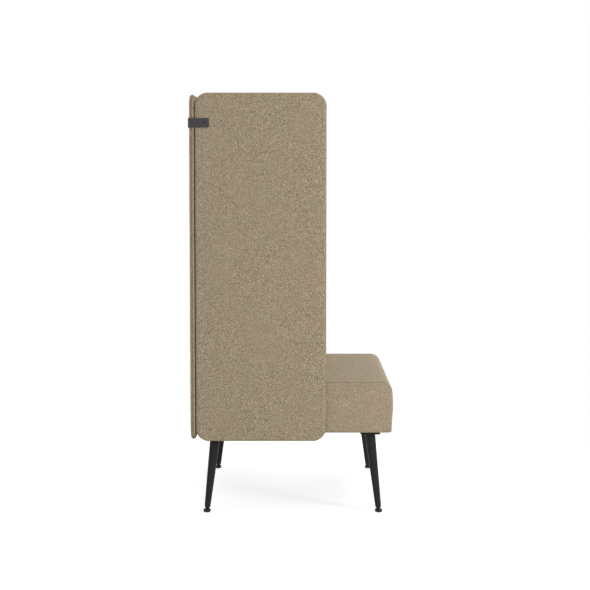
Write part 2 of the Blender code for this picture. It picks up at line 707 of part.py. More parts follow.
def stem_mesh():
    """The glide's stem: pin, neck, hexagon and threaded shank."""
    top = NUT_TOP + THREAD_LENGTH
    buried = NUT_BOTTOM + NUT_HEIGHT / 2
    pin_end = BALL_TOP - PIN_BORE_DEPTH + FIT
    profile = [
        (0, top),
        (THREAD_RADIUS - THREAD_CHAMFER, top),
        (THREAD_RADIUS, top - THREAD_CHAMFER),
        (THREAD_RADIUS, buried),
        (NECK_RADIUS, buried),
        (NECK_RADIUS, BALL_TOP + FIT),
        (PIN_RADIUS, BALL_TOP + FIT),
        (PIN_RADIUS, pin_end),
        (0, pin_end),
    ]
    blank = add_part("stem_blank", turned_mesh("glide_stem", profile, GLIDE_SEGMENTS), None)
    nut_radius = NUT_ACROSS_FLATS / math.sqrt(3)
    nut = add_cutter("stem_nut", cylinder_mesh("c", nut_radius, NUT_BOTTOM, NUT_TOP, 6))
    cut(blank, nut, "UNION")
    mesh = baked(blank)
    bpy.data.objects.remove(nut)
    mesh.materials.clear()
    return smooth(mesh)


def arc_points(radius, start_height, end_height, steps):
    """Points on a sphere's side from one height to another, as (radius, height)."""
    start = math.acos(start_height / radius)
    end = math.acos(end_height / radius)
    angles = (start + (end - start) * step / steps for step in range(steps + 1))
    return [(radius * math.sin(angle), radius * math.cos(angle)) for angle in angles]


def ball_mesh():
    """The nylon ball bush that the stem's pin turns in and the pad tilts on."""
    bore_end = BALL_TOP - PIN_BORE_DEPTH
    profile = [
        (0, bore_end),
        (PIN_BORE_RADIUS, bore_end),
        (PIN_BORE_RADIUS, BALL_TOP),
        *arc_points(BALL_RADIUS, BALL_TOP, -BALL_RADIUS, BALL_STEPS),
    ]
    profile[-1] = (0, -BALL_RADIUS)
    return turned_mesh("glide_ball", profile, GLIDE_SEGMENTS)


def pad_mesh():
    """The glide's floor pad, a shallow double cone with a ball socket open at its top."""
    socket = arc_points(SOCKET_RADIUS, -SOCKET_RADIUS, SOCKET_MOUTH, SOCKET_STEPS)
    socket[0] = (0, -SOCKET_RADIUS)
    profile = [
        *socket,
        (PAD_OPENING_RADIUS, PAD_TOP),
        (PAD_COLLAR_RADIUS, PAD_TOP),
        (PAD_RIM_RADIUS, PAD_RIM_TOP),
        (PAD_RIM_RADIUS, PAD_RIM_BOTTOM),
        (PAD_FOOT_RADIUS, -BALL_HEIGHT),
        (0, -BALL_HEIGHT),
    ]
    return turned_mesh("glide_pad", profile, GLIDE_SEGMENTS)


def build_legs(steel, nylon):
    """Four legs, each with its plate, threaded insert and levelling glide."""
    plate, leg, insert, stem, ball, pad = (
        plate_mesh(), leg_mesh(), insert_mesh(), stem_mesh(), ball_mesh(), pad_mesh()
    )
    rows = (("front", -1, SEAT_FRONT + LEG_INSET_FRONT), ("rear", 1, SEAT_REAR - LEG_INSET_REAR))
    for end, y_way, plate_y in rows:
        for side, x_way in (("right", -1), ("left", 1)):
            name = f"{end}_{side}"
            plate_x = x_way * (SEAT_HALF - LEG_INSET_SIDE)
            foot = Vector((plate_x + x_way * LEG_SPLAY, plate_y + y_way * LEG_SPLAY, BALL_HEIGHT))
            outwards = Vector((x_way, y_way, 0)).normalized()
            leaning = outwards * math.cos(LEG_LEAN) + Z_AXIS * math.sin(LEG_LEAN)
            upwards = Z_AXIS * math.cos(LEG_LEAN) - outwards * math.sin(LEG_LEAN)
            axis = add_empty(f"{name}_leg_axis", frame_matrix(foot, leaning, upwards.cross(leaning)))
            add_part(f"{name}_leg_plate", plate, steel).location = (plate_x, plate_y, PLATE_TOP)
            add_part(f"{name}_leg", leg, steel, axis)
            add_part(f"{name}_leg_insert", insert, nylon, axis)
            add_part(f"{name}_glide_stem", stem, steel, axis)
            add_part(f"{name}_glide_ball", ball, nylon, axis)
            add_part(f"{name}_glide_pad", pad, nylon).location = foot


def build_chair():
    """Build every piece of the chair."""
    clear_scene()
    fabric = material("melange_fabric", (0.32, 0.255, 0.175), 0.95)
    foam = material("seat_foam", (0.75, 0.70, 0.55), 0.9)
    wood = material("plywood", (0.55, 0.40, 0.24), 0.6)
    board = material("black_board", (0.03, 0.03, 0.03), 0.8)
    steel = material("black_coated_steel", (0.03, 0.03, 0.03), 0.4, 0.3)
    zinc = material("zinc_plated_steel", (0.45, 0.45, 0.46), 0.35, 1.0)
    nylon = material("black_nylon", (0.02, 0.02, 0.02), 0.5)
    build_seat(fabric, foam, wood, board)
    build_backrest(fabric, wood)
    side_middle_x = (SIDE_SCREEN_INNER + SIDE_SCREEN_OUTER) / 2
    side_middle_y = SEAT_REAR - SIDE_SCREEN_DEPTH / 2
    back_middle_y = (BACK_SCREEN_INNER + BACK_SCREEN_OUTER) / 2
    screens = {}
    for name, way in (("right", -1), ("left", 1)):
        middle = Vector((way * side_middle_x, side_middle_y, SCREEN_MIDDLE))
        screens[name] = build_screen(
            f"{name}_screen",
            middle,
            way * Y_AXIS,
            way * X_AXIS,
            SIDE_SCREEN_DEPTH,
            SCREEN_HEIGHT,
            fabric,
            wood,
        )
    middle = Vector((0, back_middle_y, BACK_SCREEN_MIDDLE))
    screens["back"] = build_screen(
        "back_screen", middle, -X_AXIS, Y_AXIS, 2 * SIDE_SCREEN_OUTER, BACK_SCREEN_HEIGHT, fabric, wood
    )
    build_clips(screens, steel)
    build_brackets(zinc)
    build_legs(steel, nylon)


build_chair()
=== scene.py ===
"""The looks of a high back privacy chair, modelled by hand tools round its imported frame.

Metres, +Z up, the origin on the floor in the middle of the chair. The chair faces -Y, and right and
left are the sitter's own, so right is -X.
"""

import sys
import json
import logging
import math
from contextlib import contextmanager
from dataclasses import dataclass
from enum import Enum
from typing import Callable, Iterable, Iterator, Optional, Sequence, Union

import bmesh
import bpy
import numpy as np
from mathutils import Matrix, Vector


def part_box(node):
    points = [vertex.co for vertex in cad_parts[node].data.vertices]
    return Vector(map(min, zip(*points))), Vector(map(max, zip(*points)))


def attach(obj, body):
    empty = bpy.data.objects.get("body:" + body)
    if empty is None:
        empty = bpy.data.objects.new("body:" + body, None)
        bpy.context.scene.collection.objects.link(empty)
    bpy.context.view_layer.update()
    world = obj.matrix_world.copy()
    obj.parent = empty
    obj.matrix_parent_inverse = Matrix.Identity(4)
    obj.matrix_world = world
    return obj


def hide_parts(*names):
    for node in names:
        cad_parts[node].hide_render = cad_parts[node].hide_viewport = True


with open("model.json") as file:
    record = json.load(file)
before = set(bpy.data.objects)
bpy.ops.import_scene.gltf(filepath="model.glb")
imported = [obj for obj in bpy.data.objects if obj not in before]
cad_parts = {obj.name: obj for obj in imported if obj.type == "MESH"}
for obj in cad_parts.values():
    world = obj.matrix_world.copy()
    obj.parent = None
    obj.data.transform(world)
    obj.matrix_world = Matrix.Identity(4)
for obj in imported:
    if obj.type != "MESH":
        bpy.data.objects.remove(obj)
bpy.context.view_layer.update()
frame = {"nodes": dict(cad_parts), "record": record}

LOG = logging.getLogger("privacy_chair")
MM = 0.001
CHAIR = "chair"
X_AXIS = Vector((1, 0, 0))
Y_AXIS = Vector((0, 1, 0))
Z_AXIS = Vector((0, 0, 1))

Colour = tuple[float, float, float]
Place = tuple[float, float, float]
Test = Callable[[Vector, Vector], bool]

SIDES = (("right", -1), ("left", 1))
CORNERS = [f"{end}_{side}" for end in ("front", "rear") for side in ("right", "left")]


class Slot(Enum):
    """The record's material slots."""

    FELT = "melange_fabric"
    FOAM = "seat_foam"
    PLYWOOD = "plywood"
    BASE_CLOTH = "black_board"
    GREY_COAT = "grey_coated_steel"
    BLACK_COAT = "black_coated_steel"
    ZINC = "zinc_plated_steel"
    NYLON = "black_nylon"


class Domain(Enum):
    """What a choice in edit mode picks."""

    EDGES = "EDGE"
    FACES = "FACE"


class Cover(Enum):
    """The two covers of a screen."""

    OUTER = "outer"
    INNER = "inner"


class Shade:
    """A number on its way through a material's nodes, written as an expression."""

    def __init__(self, bench: "MaterialBench", socket: bpy.types.NodeSocket) -> None:
        """Wrap an output socket of the material on a bench."""
        self.bench = bench
        self.socket = socket

    def worked(self, operation: str, *terms: "Number") -> "Shade":
        """Work one Math node on its terms, given in order."""
        node = self.bench.node("ShaderNodeMath", {"operation": operation}, dict(enumerate(terms)))
        return Shade(self.bench, node.outputs[0])

    def __add__(self, other: "Number") -> "Shade":
        """Add a number."""
        return self.worked("ADD", self, other)

    def __radd__(self, other: "Number") -> "Shade":
        """Add to a number."""
        return self.worked("ADD", other, self)

    def __sub__(self, other: "Number") -> "Shade":
        """Take a number away."""
        return self.worked("SUBTRACT", self, other)

    def __rsub__(self, other: "Number") -> "Shade":
        """Take away from a number."""
        return self.worked("SUBTRACT", other, self)

    def __mul__(self, other: "Number") -> "Shade":
        """Multiply by a number."""
        return self.worked("MULTIPLY", self, other)

    def __rmul__(self, other: "Number") -> "Shade":
        """Multiply a number."""
        return self.worked("MULTIPLY", other, self)

    def between(self, low: float, high: float) -> "Shade":
        """Ramp smoothly from 0 at the low value to 1 at the high one."""
        node = self.bench.node(
            "ShaderNodeMapRange",
            {"interpolation_type": "SMOOTHSTEP"},
            {0: self, 1: low, 2: high, 3: 0.0, 4: 1.0},
        )
        return Shade(self.bench, node.outputs[0])


Number = Union[float, Shade]
Tint = Union[Colour, bpy.types.NodeSocket]


class MaterialBench:
    """One material in the making, with its Principled shader."""

    def __init__(self, name: str) -> None:
        """Start an empty material.

        Args:
            name: the material's name.
        """
        self.material = bpy.data.materials.new(name)
        self.material.use_nodes = True
        self.tree = self.material.node_tree
        self.shader = self.tree.nodes["Principled BSDF"]
        self.coordinates = self.node("ShaderNodeTexCoord").outputs["Object"]

    def node(
        self, kind: str, settings: Optional[dict] = None, sockets: Optional[dict] = None
    ) -> bpy.types.Node:
        """Add a node.

        Args:
            kind: the node's type.
            settings: its own settings, set first.
            sockets: values or links of its inputs, by name or number.

        Returns:
            The new node.
        """
        made = self.tree.nodes.new(kind)
        for key, value in (settings or {}).items():
            setattr(made, key, value)
        for key, value in (sockets or {}).items():
            self.feed(made.inputs[key], value)
        return made

    def feed(self, socket: bpy.types.NodeSocket, value: object) -> None:
        """Link or set one input.

        Args:
            socket: the input.
            value: a Shade, a socket, a number, a colour or a vector.
        """
        if isinstance(value, Shade):
            value = value.socket
        if isinstance(value, bpy.types.NodeSocket):
            self.tree.links.new(value, socket)
        elif socket.type == "RGBA" and len(value) == 3:
            socket.default_value = (*value, 1.0)
        else:
            socket.default_value = value

    def scaled(self, stretch: Place, turn: Place = (0.0, 0.0, 0.0)) -> bpy.types.NodeSocket:
        """Object coordinates stretched along each axis.

        Args:
            stretch: the scale on each axis.
            turn: the turn round each axis in degrees.

        Returns:
            The mapped coordinates.
        """
        angles = tuple(math.radians(angle) for angle in turn)
        sockets = {"Vector": self.coordinates, "Scale": stretch, "Rotation": angles}
        return self.node("ShaderNodeMapping", None, sockets).outputs[0]

    def noise(
        self,
        scale: float,
        detail: float = 2.0,
        roughness: float = 0.5,
        distortion: float = 0.0,
        place: Optional[bpy.types.NodeSocket] = None,
    ) -> Shade:
        """Cloudy noise over the piece.

        Args:
            scale: how many features there are to a metre.
            detail: how many finer octaves are added.
            roughness: how strong they are.
            distortion: how far the clouds are drawn out into swirls.
            place: other coordinates than the object's.

        Returns:
            The noise, about 0.5 in its middle.
        """
        sockets = {
            "Vector": place or self.coordinates,
            "Scale": scale,
            "Detail": detail,
            "Roughness": roughness,
            "Distortion": distortion,
        }
        return Shade(self, self.node("ShaderNodeTexNoise", None, sockets).outputs[0])

    def cells(self, scale: float, place: Optional[bpy.types.NodeSocket] = None) -> Shade:
        """The distance, in cell widths, to the nearest of many scattered points."""
        sockets = {"Vector": place or self.coordinates, "Scale": scale}
        return Shade(self, self.node("ShaderNodeTexVoronoi", None, sockets).outputs["Distance"])

    def painted(self, name: str) -> Shade:
        """A number that the mesh itself carries, or 0 on a mesh without it."""
        node = self.node("ShaderNodeAttribute", {"attribute_name": name})
        return Shade(self, node.outputs["Fac"])

    def tinted(self, share: Number, low: Tint, high: Tint) -> bpy.types.NodeSocket:
        """Mix two colours, with a share of 0 to 1 of the second."""
        node = self.node("ShaderNodeMix", {"data_type": "RGBA"}, {0: share, 6: low, 7: high})
        return node.outputs[2]

    def relief(self, height: Shade, depth: float, strength: float = 1.0) -> None:
        """Raise the surface by a height of 0 to 1, where 1 is so many metres deep."""
        node = self.node("ShaderNodeBump", None, {"Strength": strength, "Distance": depth, "Height": height})
        self.feed(self.shader.inputs["Normal"], node.outputs[0])

    def finished(self, **sockets: object) -> bpy.types.Material:
        """Set the shader's inputs and hand the material over.

        Args:
            sockets: values or links by the inputs' names, with underscores for spaces.

        Returns:
            The material.
        """
        for key, value in sockets.items():
            self.feed(self.shader.inputs[key.replace("_", " ")], value)
        return self.material


@dataclass(frozen=True)
class MelangeFelt:
    """Milled wool felt in sand, with light and dark flecks and a short nap."""

    light_fleck: Colour = (0.62, 0.508, 0.356)
    dark_fleck: Colour = (0.095, 0.068, 0.038)
    rosy: Colour = (0.329, 0.256, 0.176)
    mossy: Colour = (0.318, 0.258, 0.171)
    # the dark colour of the seams, which also carries painted shade: in the crevices between screens, along
    # the covers' rolled edges and in the seam grooves
    seam: Colour = (0.048, 0.035, 0.018)
    clouds_per_metre: float = 16.0
    mottles_per_metre: float = 18.0
    flecks_per_metre: float = 470.0
    frays_per_metre: float = 1500.0
    hair_loops: tuple[float, float, float] = (330.0, 470.0, 610.0)
    fleck_share: float = 0.95
    hair_share: float = 0.5
    pale_hair_share: float = 0.6
    seam_and_shade_share: float = 0.96
    # painted light: how much lighter the cushions' felt is made than the screens' felt
    painted_light_gain: float = 0.075
    brushed_mottle: float = 0.2
    brushed_away: float = 0.4
    nap: float = 0.5 * MM

    @staticmethod
    def hairs(bench: MaterialBench, loops_per_metre: float) -> Shade:
        """Draw thin curled hairs.

        Args:
            bench: the material.
            loops_per_metre: how many curls there are to a metre.

        Returns:
            1 on a hair and 0 beside it.
        """
        curl = bench.noise(loops_per_metre, 1.0, 0.5, 1.6)
        away = curl.worked("ABSOLUTE", curl - 0.5)
        return away.between(0.034, 0.006)

    def material(self) -> bpy.types.Material:
        """Mix the felt's colours and relief.

        Returns:
            The material.
        """
        bench = MaterialBench("melange_felt")
        clouds = bench.noise(self.clouds_per_metre)
        fray = bench.noise(self.frays_per_metre, 2.0, 0.65, 1.2)
        fleck = bench.noise(self.flecks_per_metre, 1.0, 0.6, 0.3) + 0.25 * (fray - 0.5)
        pale, dark, sandy = (self.hairs(bench, loops) for loops in self.hair_loops)
        ground = bench.tinted(clouds.between(0.35, 0.65), self.rosy, self.mossy)
        brushed_and_lit = bench.painted("brushed_and_lit")
        shown = self.fleck_share * (1.0 - self.brushed_away * brushed_and_lit)
        colour = bench.tinted(fleck.between(0.50, 0.64) * shown, ground, self.light_fleck)
        colour = bench.tinted(fleck.between(0.50, 0.36) * shown, colour, self.dark_fleck)
        colour = bench.tinted(dark * self.hair_share, colour, self.dark_fleck)
        colour = bench.tinted(sandy * self.hair_share, colour, self.rosy)
        colour = bench.tinted(pale * self.pale_hair_share, colour, self.light_fleck)
        mottle = bench.noise(self.mottles_per_metre, 3.0, 0.6)
        # painted light: the cushions' felt is lightened, with a mottle over the lift
        gain = 1.0 + (self.painted_light_gain + self.brushed_mottle * (mottle - 0.5)) * brushed_and_lit
        colour = bench.node("ShaderNodeVectorMath", {"operation": "SCALE"}, {0: colour, 3: gain}).outputs[0]
        # painted shade: the seam attribute darkens the seams and also paints shade into the screens'
        # crevices, the covers' rolled edges and the seam grooves
        colour = bench.tinted(bench.painted("seam") * self.seam_and_shade_share, colour, self.seam)
        bench.relief(fleck * 0.35 + pale * 0.25 + sandy * 0.2 + fray * 0.2, self.nap, 0.6)
        return bench.finished(
            Base_Color=colour,
            Roughness=0.93,
            Specular_IOR_Level=0.25,
            Sheen_Weight=0.12,
            Sheen_Roughness=0.45,
            Sheen_Tint=(0.9, 0.82, 0.7, 1.0),
        )


@dataclass(frozen=True)
class PowderCoat:
    """A satin powder coat with a fine orange peel."""

    name: str
    colour: Colour
    highlight: Colour
    roughness: float
    gloss: float

    def material(self) -> bpy.types.Material:
        """Mix the coat's colours and relief.

        Returns:
            The material.
        """
        bench = MaterialBench(self.name)
        peel = bench.noise(900.0)
        grains = bench.noise(3200.0, 1.0)
        handling = bench.noise(38.0, 3.0, 0.6)
        colour = bench.tinted(grains.between(0.5, 0.8) * 0.35, self.colour, self.highlight)
        bench.relief(peel * 0.7 + grains * 0.3, 0.12 * MM, 0.35)
        return bench.finished(
            Base_Color=colour,
            Roughness=self.roughness + 0.1 * (handling - 0.5),
            Specular_IOR_Level=self.gloss,
        )


@dataclass(frozen=True)
class ZincPlate:
    """Bright zinc plate with a faint patchy bloom."""

    bright: Colour = (0.56, 0.57, 0.58)
    dull: Colour = (0.36, 0.37, 0.40)

    def material(self) -> bpy.types.Material:
        """Mix the plate's colours and relief.

        Returns:
            The material.
        """
        bench = MaterialBench("zinc_plate")
        bloom = bench.noise(120.0, 4.0, 0.65, 0.5)
        drawn = bench.noise(420.0, 2.0, 0.5, 0.0, bench.scaled((1.0, 1.0, 0.12)))
        bench.relief(drawn, 0.05 * MM, 0.4)
        return bench.finished(
            Base_Color=bench.tinted(bloom.between(0.35, 0.65), self.bright, self.dull),
            Roughness=0.3 + 0.22 * bloom,
            Metallic=1.0,
        )


@dataclass(frozen=True)
class MouldedNylon:
    """Black nylon with the fine grain of its mould."""

    colour: Colour = (0.018, 0.018, 0.019)
    scuffed: Colour = (0.05, 0.05, 0.052)

    def material(self) -> bpy.types.Material:
        """Mix the nylon's colours and relief.

        Returns:
            The material.
        """
        bench = MaterialBench("moulded_nylon")
        grain = bench.noise(2400.0, 2.0, 0.6)
        scuffs = bench.noise(210.0, 4.0, 0.7, 1.2)
        bench.relief(grain, 0.08 * MM, 0.5)
        return bench.finished(
            Base_Color=bench.tinted(scuffs.between(0.56, 0.72) * 0.5, self.colour, self.scuffed),
            Roughness=0.46 + 0.18 * scuffs,
            Specular_IOR_Level=0.3,
        )


@dataclass(frozen=True)
class DustCloth:
    """Black spun cloth with its welded dots, stapled over the base board."""

    colour: Colour = (0.022, 0.022, 0.023)
    fibre: Colour = (0.075, 0.075, 0.078)
    dots_per_metre: float = 640.0

    def material(self) -> bpy.types.Material:
        """Mix the cloth's colours and relief.

        Returns:
            The material.
        """
        bench = MaterialBench("dust_cloth")
        strands = bench.noise(900.0, 3.0, 0.7, 2.5)
        dots = bench.cells(self.dots_per_metre, bench.scaled((1.0, 1.0, 0.001), (0.0, 0.0, 45.0)))
        pressed = dots.between(0.22, 0.34)
        colour = bench.tinted(strands.between(0.5, 0.66) * pressed, self.colour, self.fibre)
        bench.relief(strands * 0.4 + pressed * 0.6, 0.25 * MM, 0.8)
        return bench.finished(Base_Color=colour, Roughness=0.82, Specular_IOR_Level=0.3)


@dataclass(frozen=True)
class BirchPlywood:
    """Raw birch plywood: a quiet face grain, with dark glue lines on its edges."""

    pale: Colour = (0.62, 0.47, 0.30)
    dark: Colour = (0.44, 0.30, 0.17)

    def material(self) -> bpy.types.Material:
        """Mix the plywood's colours and relief.

        Returns:
            The material.
        """
        bench = MaterialBench("birch_plywood")
        grain = bench.noise(30.0, 6.0, 0.65, 1.5, bench.scaled((9.0, 1.0, 9.0)))
        pores = bench.noise(260.0, 3.0, 0.6, 0.0, bench.scaled((6.0, 1.0, 6.0)))
        colour = bench.tinted(grain.between(0.35, 0.65), self.pale, self.dark)
        colour = bench.tinted(pores.between(0.6, 0.72) * 0.4, colour, self.dark)
        bench.relief(grain * 0.5 + pores * 0.5, 0.2 * MM, 0.5)
        return bench.finished(Base_Color=colour, Roughness=0.55 + 0.2 * pores)


@dataclass(frozen=True)
class CutFoam:
    """Cream foam with open cells."""

    cream: Colour = (0.78, 0.72, 0.55)
    shadow: Colour = (0.48, 0.41, 0.26)

    def material(self) -> bpy.types.Material:
        """Mix the foam's colours and relief.

        Returns:
            The material.
        """
        bench = MaterialBench("cut_foam")
        pores = bench.cells(900.0)
        ageing = bench.noise(12.0, 3.0)
        open_cells = pores.between(0.3, 0.08)
        colour = bench.tinted(open_cells * 0.6, self.cream, self.shadow)
        colour = bench.tinted(ageing.between(0.45, 0.8) * 0.25, colour, self.shadow)
        bench.relief(1.0 - open_cells, 0.6 * MM, 0.8)
        return bench.finished(Base_Color=colour, Roughness=0.9, Specular_IOR_Level=0.2)


class FinishBook:
    """Every finish of the chair, made once and laid on pieces by its slot."""

    def __init__(self) -> None:
        """Make all the finishes."""
        black = PowderCoat(
            name="black_powder_coat",
            colour=(0.024, 0.024, 0.0247),
            highlight=(0.052, 0.052, 0.0535),
            roughness=0.38,
            gloss=0.06,
        )
        grey = PowderCoat(
            name="grey_powder_coat",
            colour=(0.044, 0.041, 0.045),
            highlight=(0.085, 0.081, 0.088),
            roughness=0.44,
            gloss=0.3,
        )
        finishes = {
            Slot.FELT: MelangeFelt(),
            Slot.FOAM: CutFoam(),
            Slot.PLYWOOD: BirchPlywood(),
            Slot.BASE_CLOTH: DustCloth(),
            Slot.GREY_COAT: grey,
            Slot.BLACK_COAT: black,
            Slot.ZINC: ZincPlate(),
            Slot.NYLON: MouldedNylon(),
        }
        self.materials = {slot: finish.material() for slot, finish in finishes.items()}

    def lay(self, piece: bpy.types.Object, slot: Slot) -> None:
        """Give a finished piece its slot's material, and report it.

        Args:
            piece: the piece.
            slot: the slot that it takes its material from.
        """
        piece.data.materials.clear()
        piece.data.materials.append(self.materials[slot])
        LOG.info("%s: %d faces", piece.name, len(piece.data.polygons))

    def dress_frame(self) -> None:
        """Give every CAD node the finish of its slot."""
        for row in frame["record"]["subparts"]:
            for place in frame["nodes"][row["node"]].material_slots:
                place.material = self.materials[Slot(row["material_slot"])]


class Workshop:
    """Hand tools that work on one piece at a time."""

    @staticmethod
    def take(piece: bpy.types.Object) -> None:
        """Select one piece alone and make it active.

        Args:
            piece: the piece to work on.
        """
        bpy.ops.object.select_all(action="DESELECT")
        piece.select_set(True)
        bpy.context.view_layer.objects.active = piece

    @staticmethod
    def started(name: str, primitive: Callable[..., set], **settings: object) -> bpy.types.Object:
        """Start a piece from a primitive, with its place settled into its mesh.

        Args:
            name: the piece's name.
            primitive: the operator that adds it.
            settings: the operator's settings.

        Returns:
            The piece.
        """
        bpy.ops.object.select_all(action="DESELECT")
        primitive(**settings)
        piece = bpy.context.active_object
        piece.name = piece.data.name = name
        Workshop.take(piece)
        bpy.ops.object.transform_apply(location=True, rotation=True, scale=True)
        return piece

    @staticmethod
    def block(name: str, low: Sequence[float], high: Sequence[float]) -> bpy.types.Object:
        """Start a piece from a cube between two corners.

        Args:
            name: the piece's name.
            low: its lowest corner.
            high: its highest corner.

        Returns:
            The piece.
        """
        low, high = Vector(low), Vector(high)
        return Workshop.started(
            name, bpy.ops.mesh.primitive_cube_add, size=1.0, location=(low + high) / 2, scale=high - low
        )

    @staticmethod
    @contextmanager
    def editing(piece: bpy.types.Object, whole: bool = False) -> Iterator[None]:
        """Open a piece in edit mode, and close it at the end.

        Args:
            piece: the piece.
            whole: whether all of it is selected at the start, and not nothing.
        """
        Workshop.take(piece)
        bpy.ops.object.mode_set(mode="EDIT")
        bpy.ops.mesh.select_all(action="SELECT" if whole else "DESELECT")
        yield
        bpy.ops.object.mode_set(mode="OBJECT")

    @staticmethod
    def choose(piece: bpy.types.Object, domain: Domain, test: Test) -> int:
        """Select what passes a test, in edit mode.

        Args:
            piece: the piece in edit mode.
            domain: what is picked.
            test: takes a place, and a face's normal or an edge's direction.

        Returns:
            How many were picked.
        """
        bpy.ops.mesh.select_mode(type=domain.value)
        bpy.ops.mesh.select_all(action="DESELECT")
        body = bmesh.from_edit_mesh(piece.data)
        body.normal_update()
        if domain is Domain.FACES:
            found = [face for face in body.faces if test(face.calc_center_median(), face.normal)]
        else:
            found = []
            for edge in body.edges:
                first, second = (point.co for point in edge.verts)
                if test((first + second) / 2, (second - first).normalized()):
                    found.append(edge)
        for item in found:
            item.select_set(True)
        body.select_flush_mode()
        bmesh.update_edit_mesh(piece.data)
        return len(found)

    @staticmethod
    def bevel(piece: bpy.types.Object, test: Test, radius: float, steps: int) -> None:
        """Round the edges whose middle and direction pass a test, in edit mode."""
        if Workshop.choose(piece, Domain.EDGES, test):
            bpy.ops.mesh.bevel(offset=radius, segments=steps, profile=0.5, affect="EDGES", clamp_overlap=True)

    @staticmethod
    def modified(piece: bpy.types.Object, kind: str, **settings: object) -> None:
        """Add a modifier and apply it.

        Args:
            piece: the piece.
            kind: the modifier's type.
            settings: its settings.
        """
        Workshop.take(piece)
        modifier = piece.modifiers.new(kind.lower(), kind)
        for key, value in settings.items():
            setattr(modifier, key, value)
        bpy.ops.object.modifier_apply(modifier=modifier.name)

    @staticmethod
    def closed(piece: bpy.types.Object, reach: float = 0.002 * MM) -> None:
        """Merge a piece's doubled points and turn its faces outwards.

        Args:
            piece: the piece.
            reach: how near doubled points are.
        """
        with Workshop.editing(piece, whole=True):
            bpy.ops.mesh.remove_doubles(threshold=reach)
            bpy.ops.mesh.normals_make_consistent(inside=False)

    @staticmethod
    def smoothed(piece: bpy.types.Object, angle: float = 35.0) -> None:
        """Shade a piece smooth, with edges sharper than an angle in degrees left crisp."""
        Workshop.take(piece)
        bpy.ops.object.shade_smooth_by_angle(angle=math.radians(angle))

    @staticmethod
    def softened(piece: bpy.types.Object, radius: float, steps: int = 2, angle: float = 40.0) -> None:
        """Break a piece's sharp edges with a small rounding, and shade it smooth.

        Args:
            piece: the piece.
            radius: the rounding.
            steps: how many faces make it.
            angle: edges sharper than this are rounded, in degrees.
        """
        limits = {"limit_method": "ANGLE", "angle_limit": math.radians(angle)}
        Workshop.modified(piece, "BEVEL", width=radius, segments=steps, **limits)
        Workshop.smoothed(piece)

    @staticmethod
    def turned(name: str, profile: Sequence[tuple[float, float]], steps: int) -> bpy.types.Object:
        """Turn a piece round Z, as on a lathe.

        Args:
            name: the piece's name.
            profile: (radius, height) points in order.
            steps: how many faces go round.

        Returns:
            The piece.
        """
        start = (profile[0][0], 0.0, profile[0][1])
        piece = Workshop.started(name, bpy.ops.mesh.primitive_plane_add, size=MM, location=start)
        with Workshop.editing(piece):
            Workshop.draw(np.diff(profile, axis=0))
            bpy.ops.mesh.spin(steps=steps, angle=2 * math.pi, center=(0, 0, 0), axis=(0, 0, 1))
        Workshop.closed(piece, 0.01 * MM)
        return piece

    @staticmethod
    def draw(steps: Iterable[tuple[float, float]]) -> None:
        """Draw a line in edit mode from the middle of a small plane, and leave it selected.

        Args:
            steps: each point's (radial, upward) step from the one before it.
        """
        bpy.ops.mesh.select_mode(type="VERT")
        bpy.ops.mesh.select_all(action="SELECT")
        bpy.ops.mesh.merge(type="CENTER")
        for across, up in steps:
            bpy.ops.mesh.extrude_vertices_move(TRANSFORM_OT_translate={"value": (across, 0.0, up)})
        bpy.ops.mesh.select_all(action="SELECT")

    @staticmethod
    def cut_with(piece: bpy.types.Object, cutter: bpy.types.Object) -> None:
        """Cut a piece with another, which is used up."""
        Workshop.modified(piece, "BOOLEAN", operation="DIFFERENCE", object=cutter, solver="EXACT")
        Workshop.discard(cutter)

    @staticmethod
    def copied(piece: bpy.types.Object, name: str, matrix: Matrix) -> bpy.types.Object:
        """Copy a piece with its own mesh to another place.

        Args:
            piece: the piece.
            name: the copy's name.
            matrix: where the copy goes.

        Returns:
            The copy.
        """
        other = piece.copy()
        other.data = piece.data.copy()
        other.name = other.data.name = name
        bpy.context.scene.collection.objects.link(other)
        other.data.transform(matrix)
        return other

    @staticmethod
    def discard(*pieces: bpy.types.Object) -> None:
        """Delete blanks and cutters that have done their work."""
        for piece in pieces:
            bpy.data.objects.remove(piece)

    @staticmethod
    def joined(name: str, pieces: Sequence[bpy.types.Object]) -> bpy.types.Object:
        """Join several pieces into one.

        Args:
            name: the joined piece's name.
            pieces: what is joined.

        Returns:
            The joined piece.
        """
        Workshop.take(pieces[0])
        for piece in pieces[1:]:
            piece.select_set(True)
        if len(pieces) > 1:
            bpy.ops.object.join()
        pieces[0].name = pieces[0].data.name = name
        return pieces[0]

    @staticmethod
    def points(piece: bpy.types.Object, kind: str = "co") -> np.ndarray:
        """Read a mesh's points or their normals.

        Args:
            piece: the piece.
            kind: "co" or "normal".

        Returns:
            One row for each point.
        """
        values = np.zeros(len(piece.data.vertices) * 3)
        piece.data.vertices.foreach_get(kind, values)
        return values.reshape(-1, 3)

    @staticmethod
    def move_points(piece: bpy.types.Object, places: np.ndarray) -> None:
        """Set the places of a mesh's points, one row for each."""
        piece.data.vertices.foreach_set("co", places.astype(np.float32).ravel())
        piece.data.update()

    @staticmethod
    def paint(piece: bpy.types.Object, name: str, values: np.ndarray) -> None:
        """Store a number at each point of a mesh, under an attribute's name."""
        attribute = piece.data.attributes.new(name, "FLOAT", "POINT")
        attribute.data.foreach_set("value", values.astype(np.float32))


def frame_of(origin: Vector, x_axis: Vector, y_axis: Vector) -> Matrix:
    """Make the matrix of a frame.

    Args:
        origin: where the frame stands.
        x_axis: its first axis.
        y_axis: its second axis.

    Returns:
        The matrix from the frame to the world.
    """
    matrix = Matrix.Identity(4)
    for index, column in enumerate((x_axis, y_axis, x_axis.cross(y_axis), origin)):
        for row in range(3):
            matrix[row][index] = column[row]
    return matrix


def under_middle(node: str) -> Vector:
    """Find the middle of the underside of a CAD node's box."""
    low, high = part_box(node)
    return Vector(((low.x + high.x) / 2, (low.y + high.y) / 2, low.z))


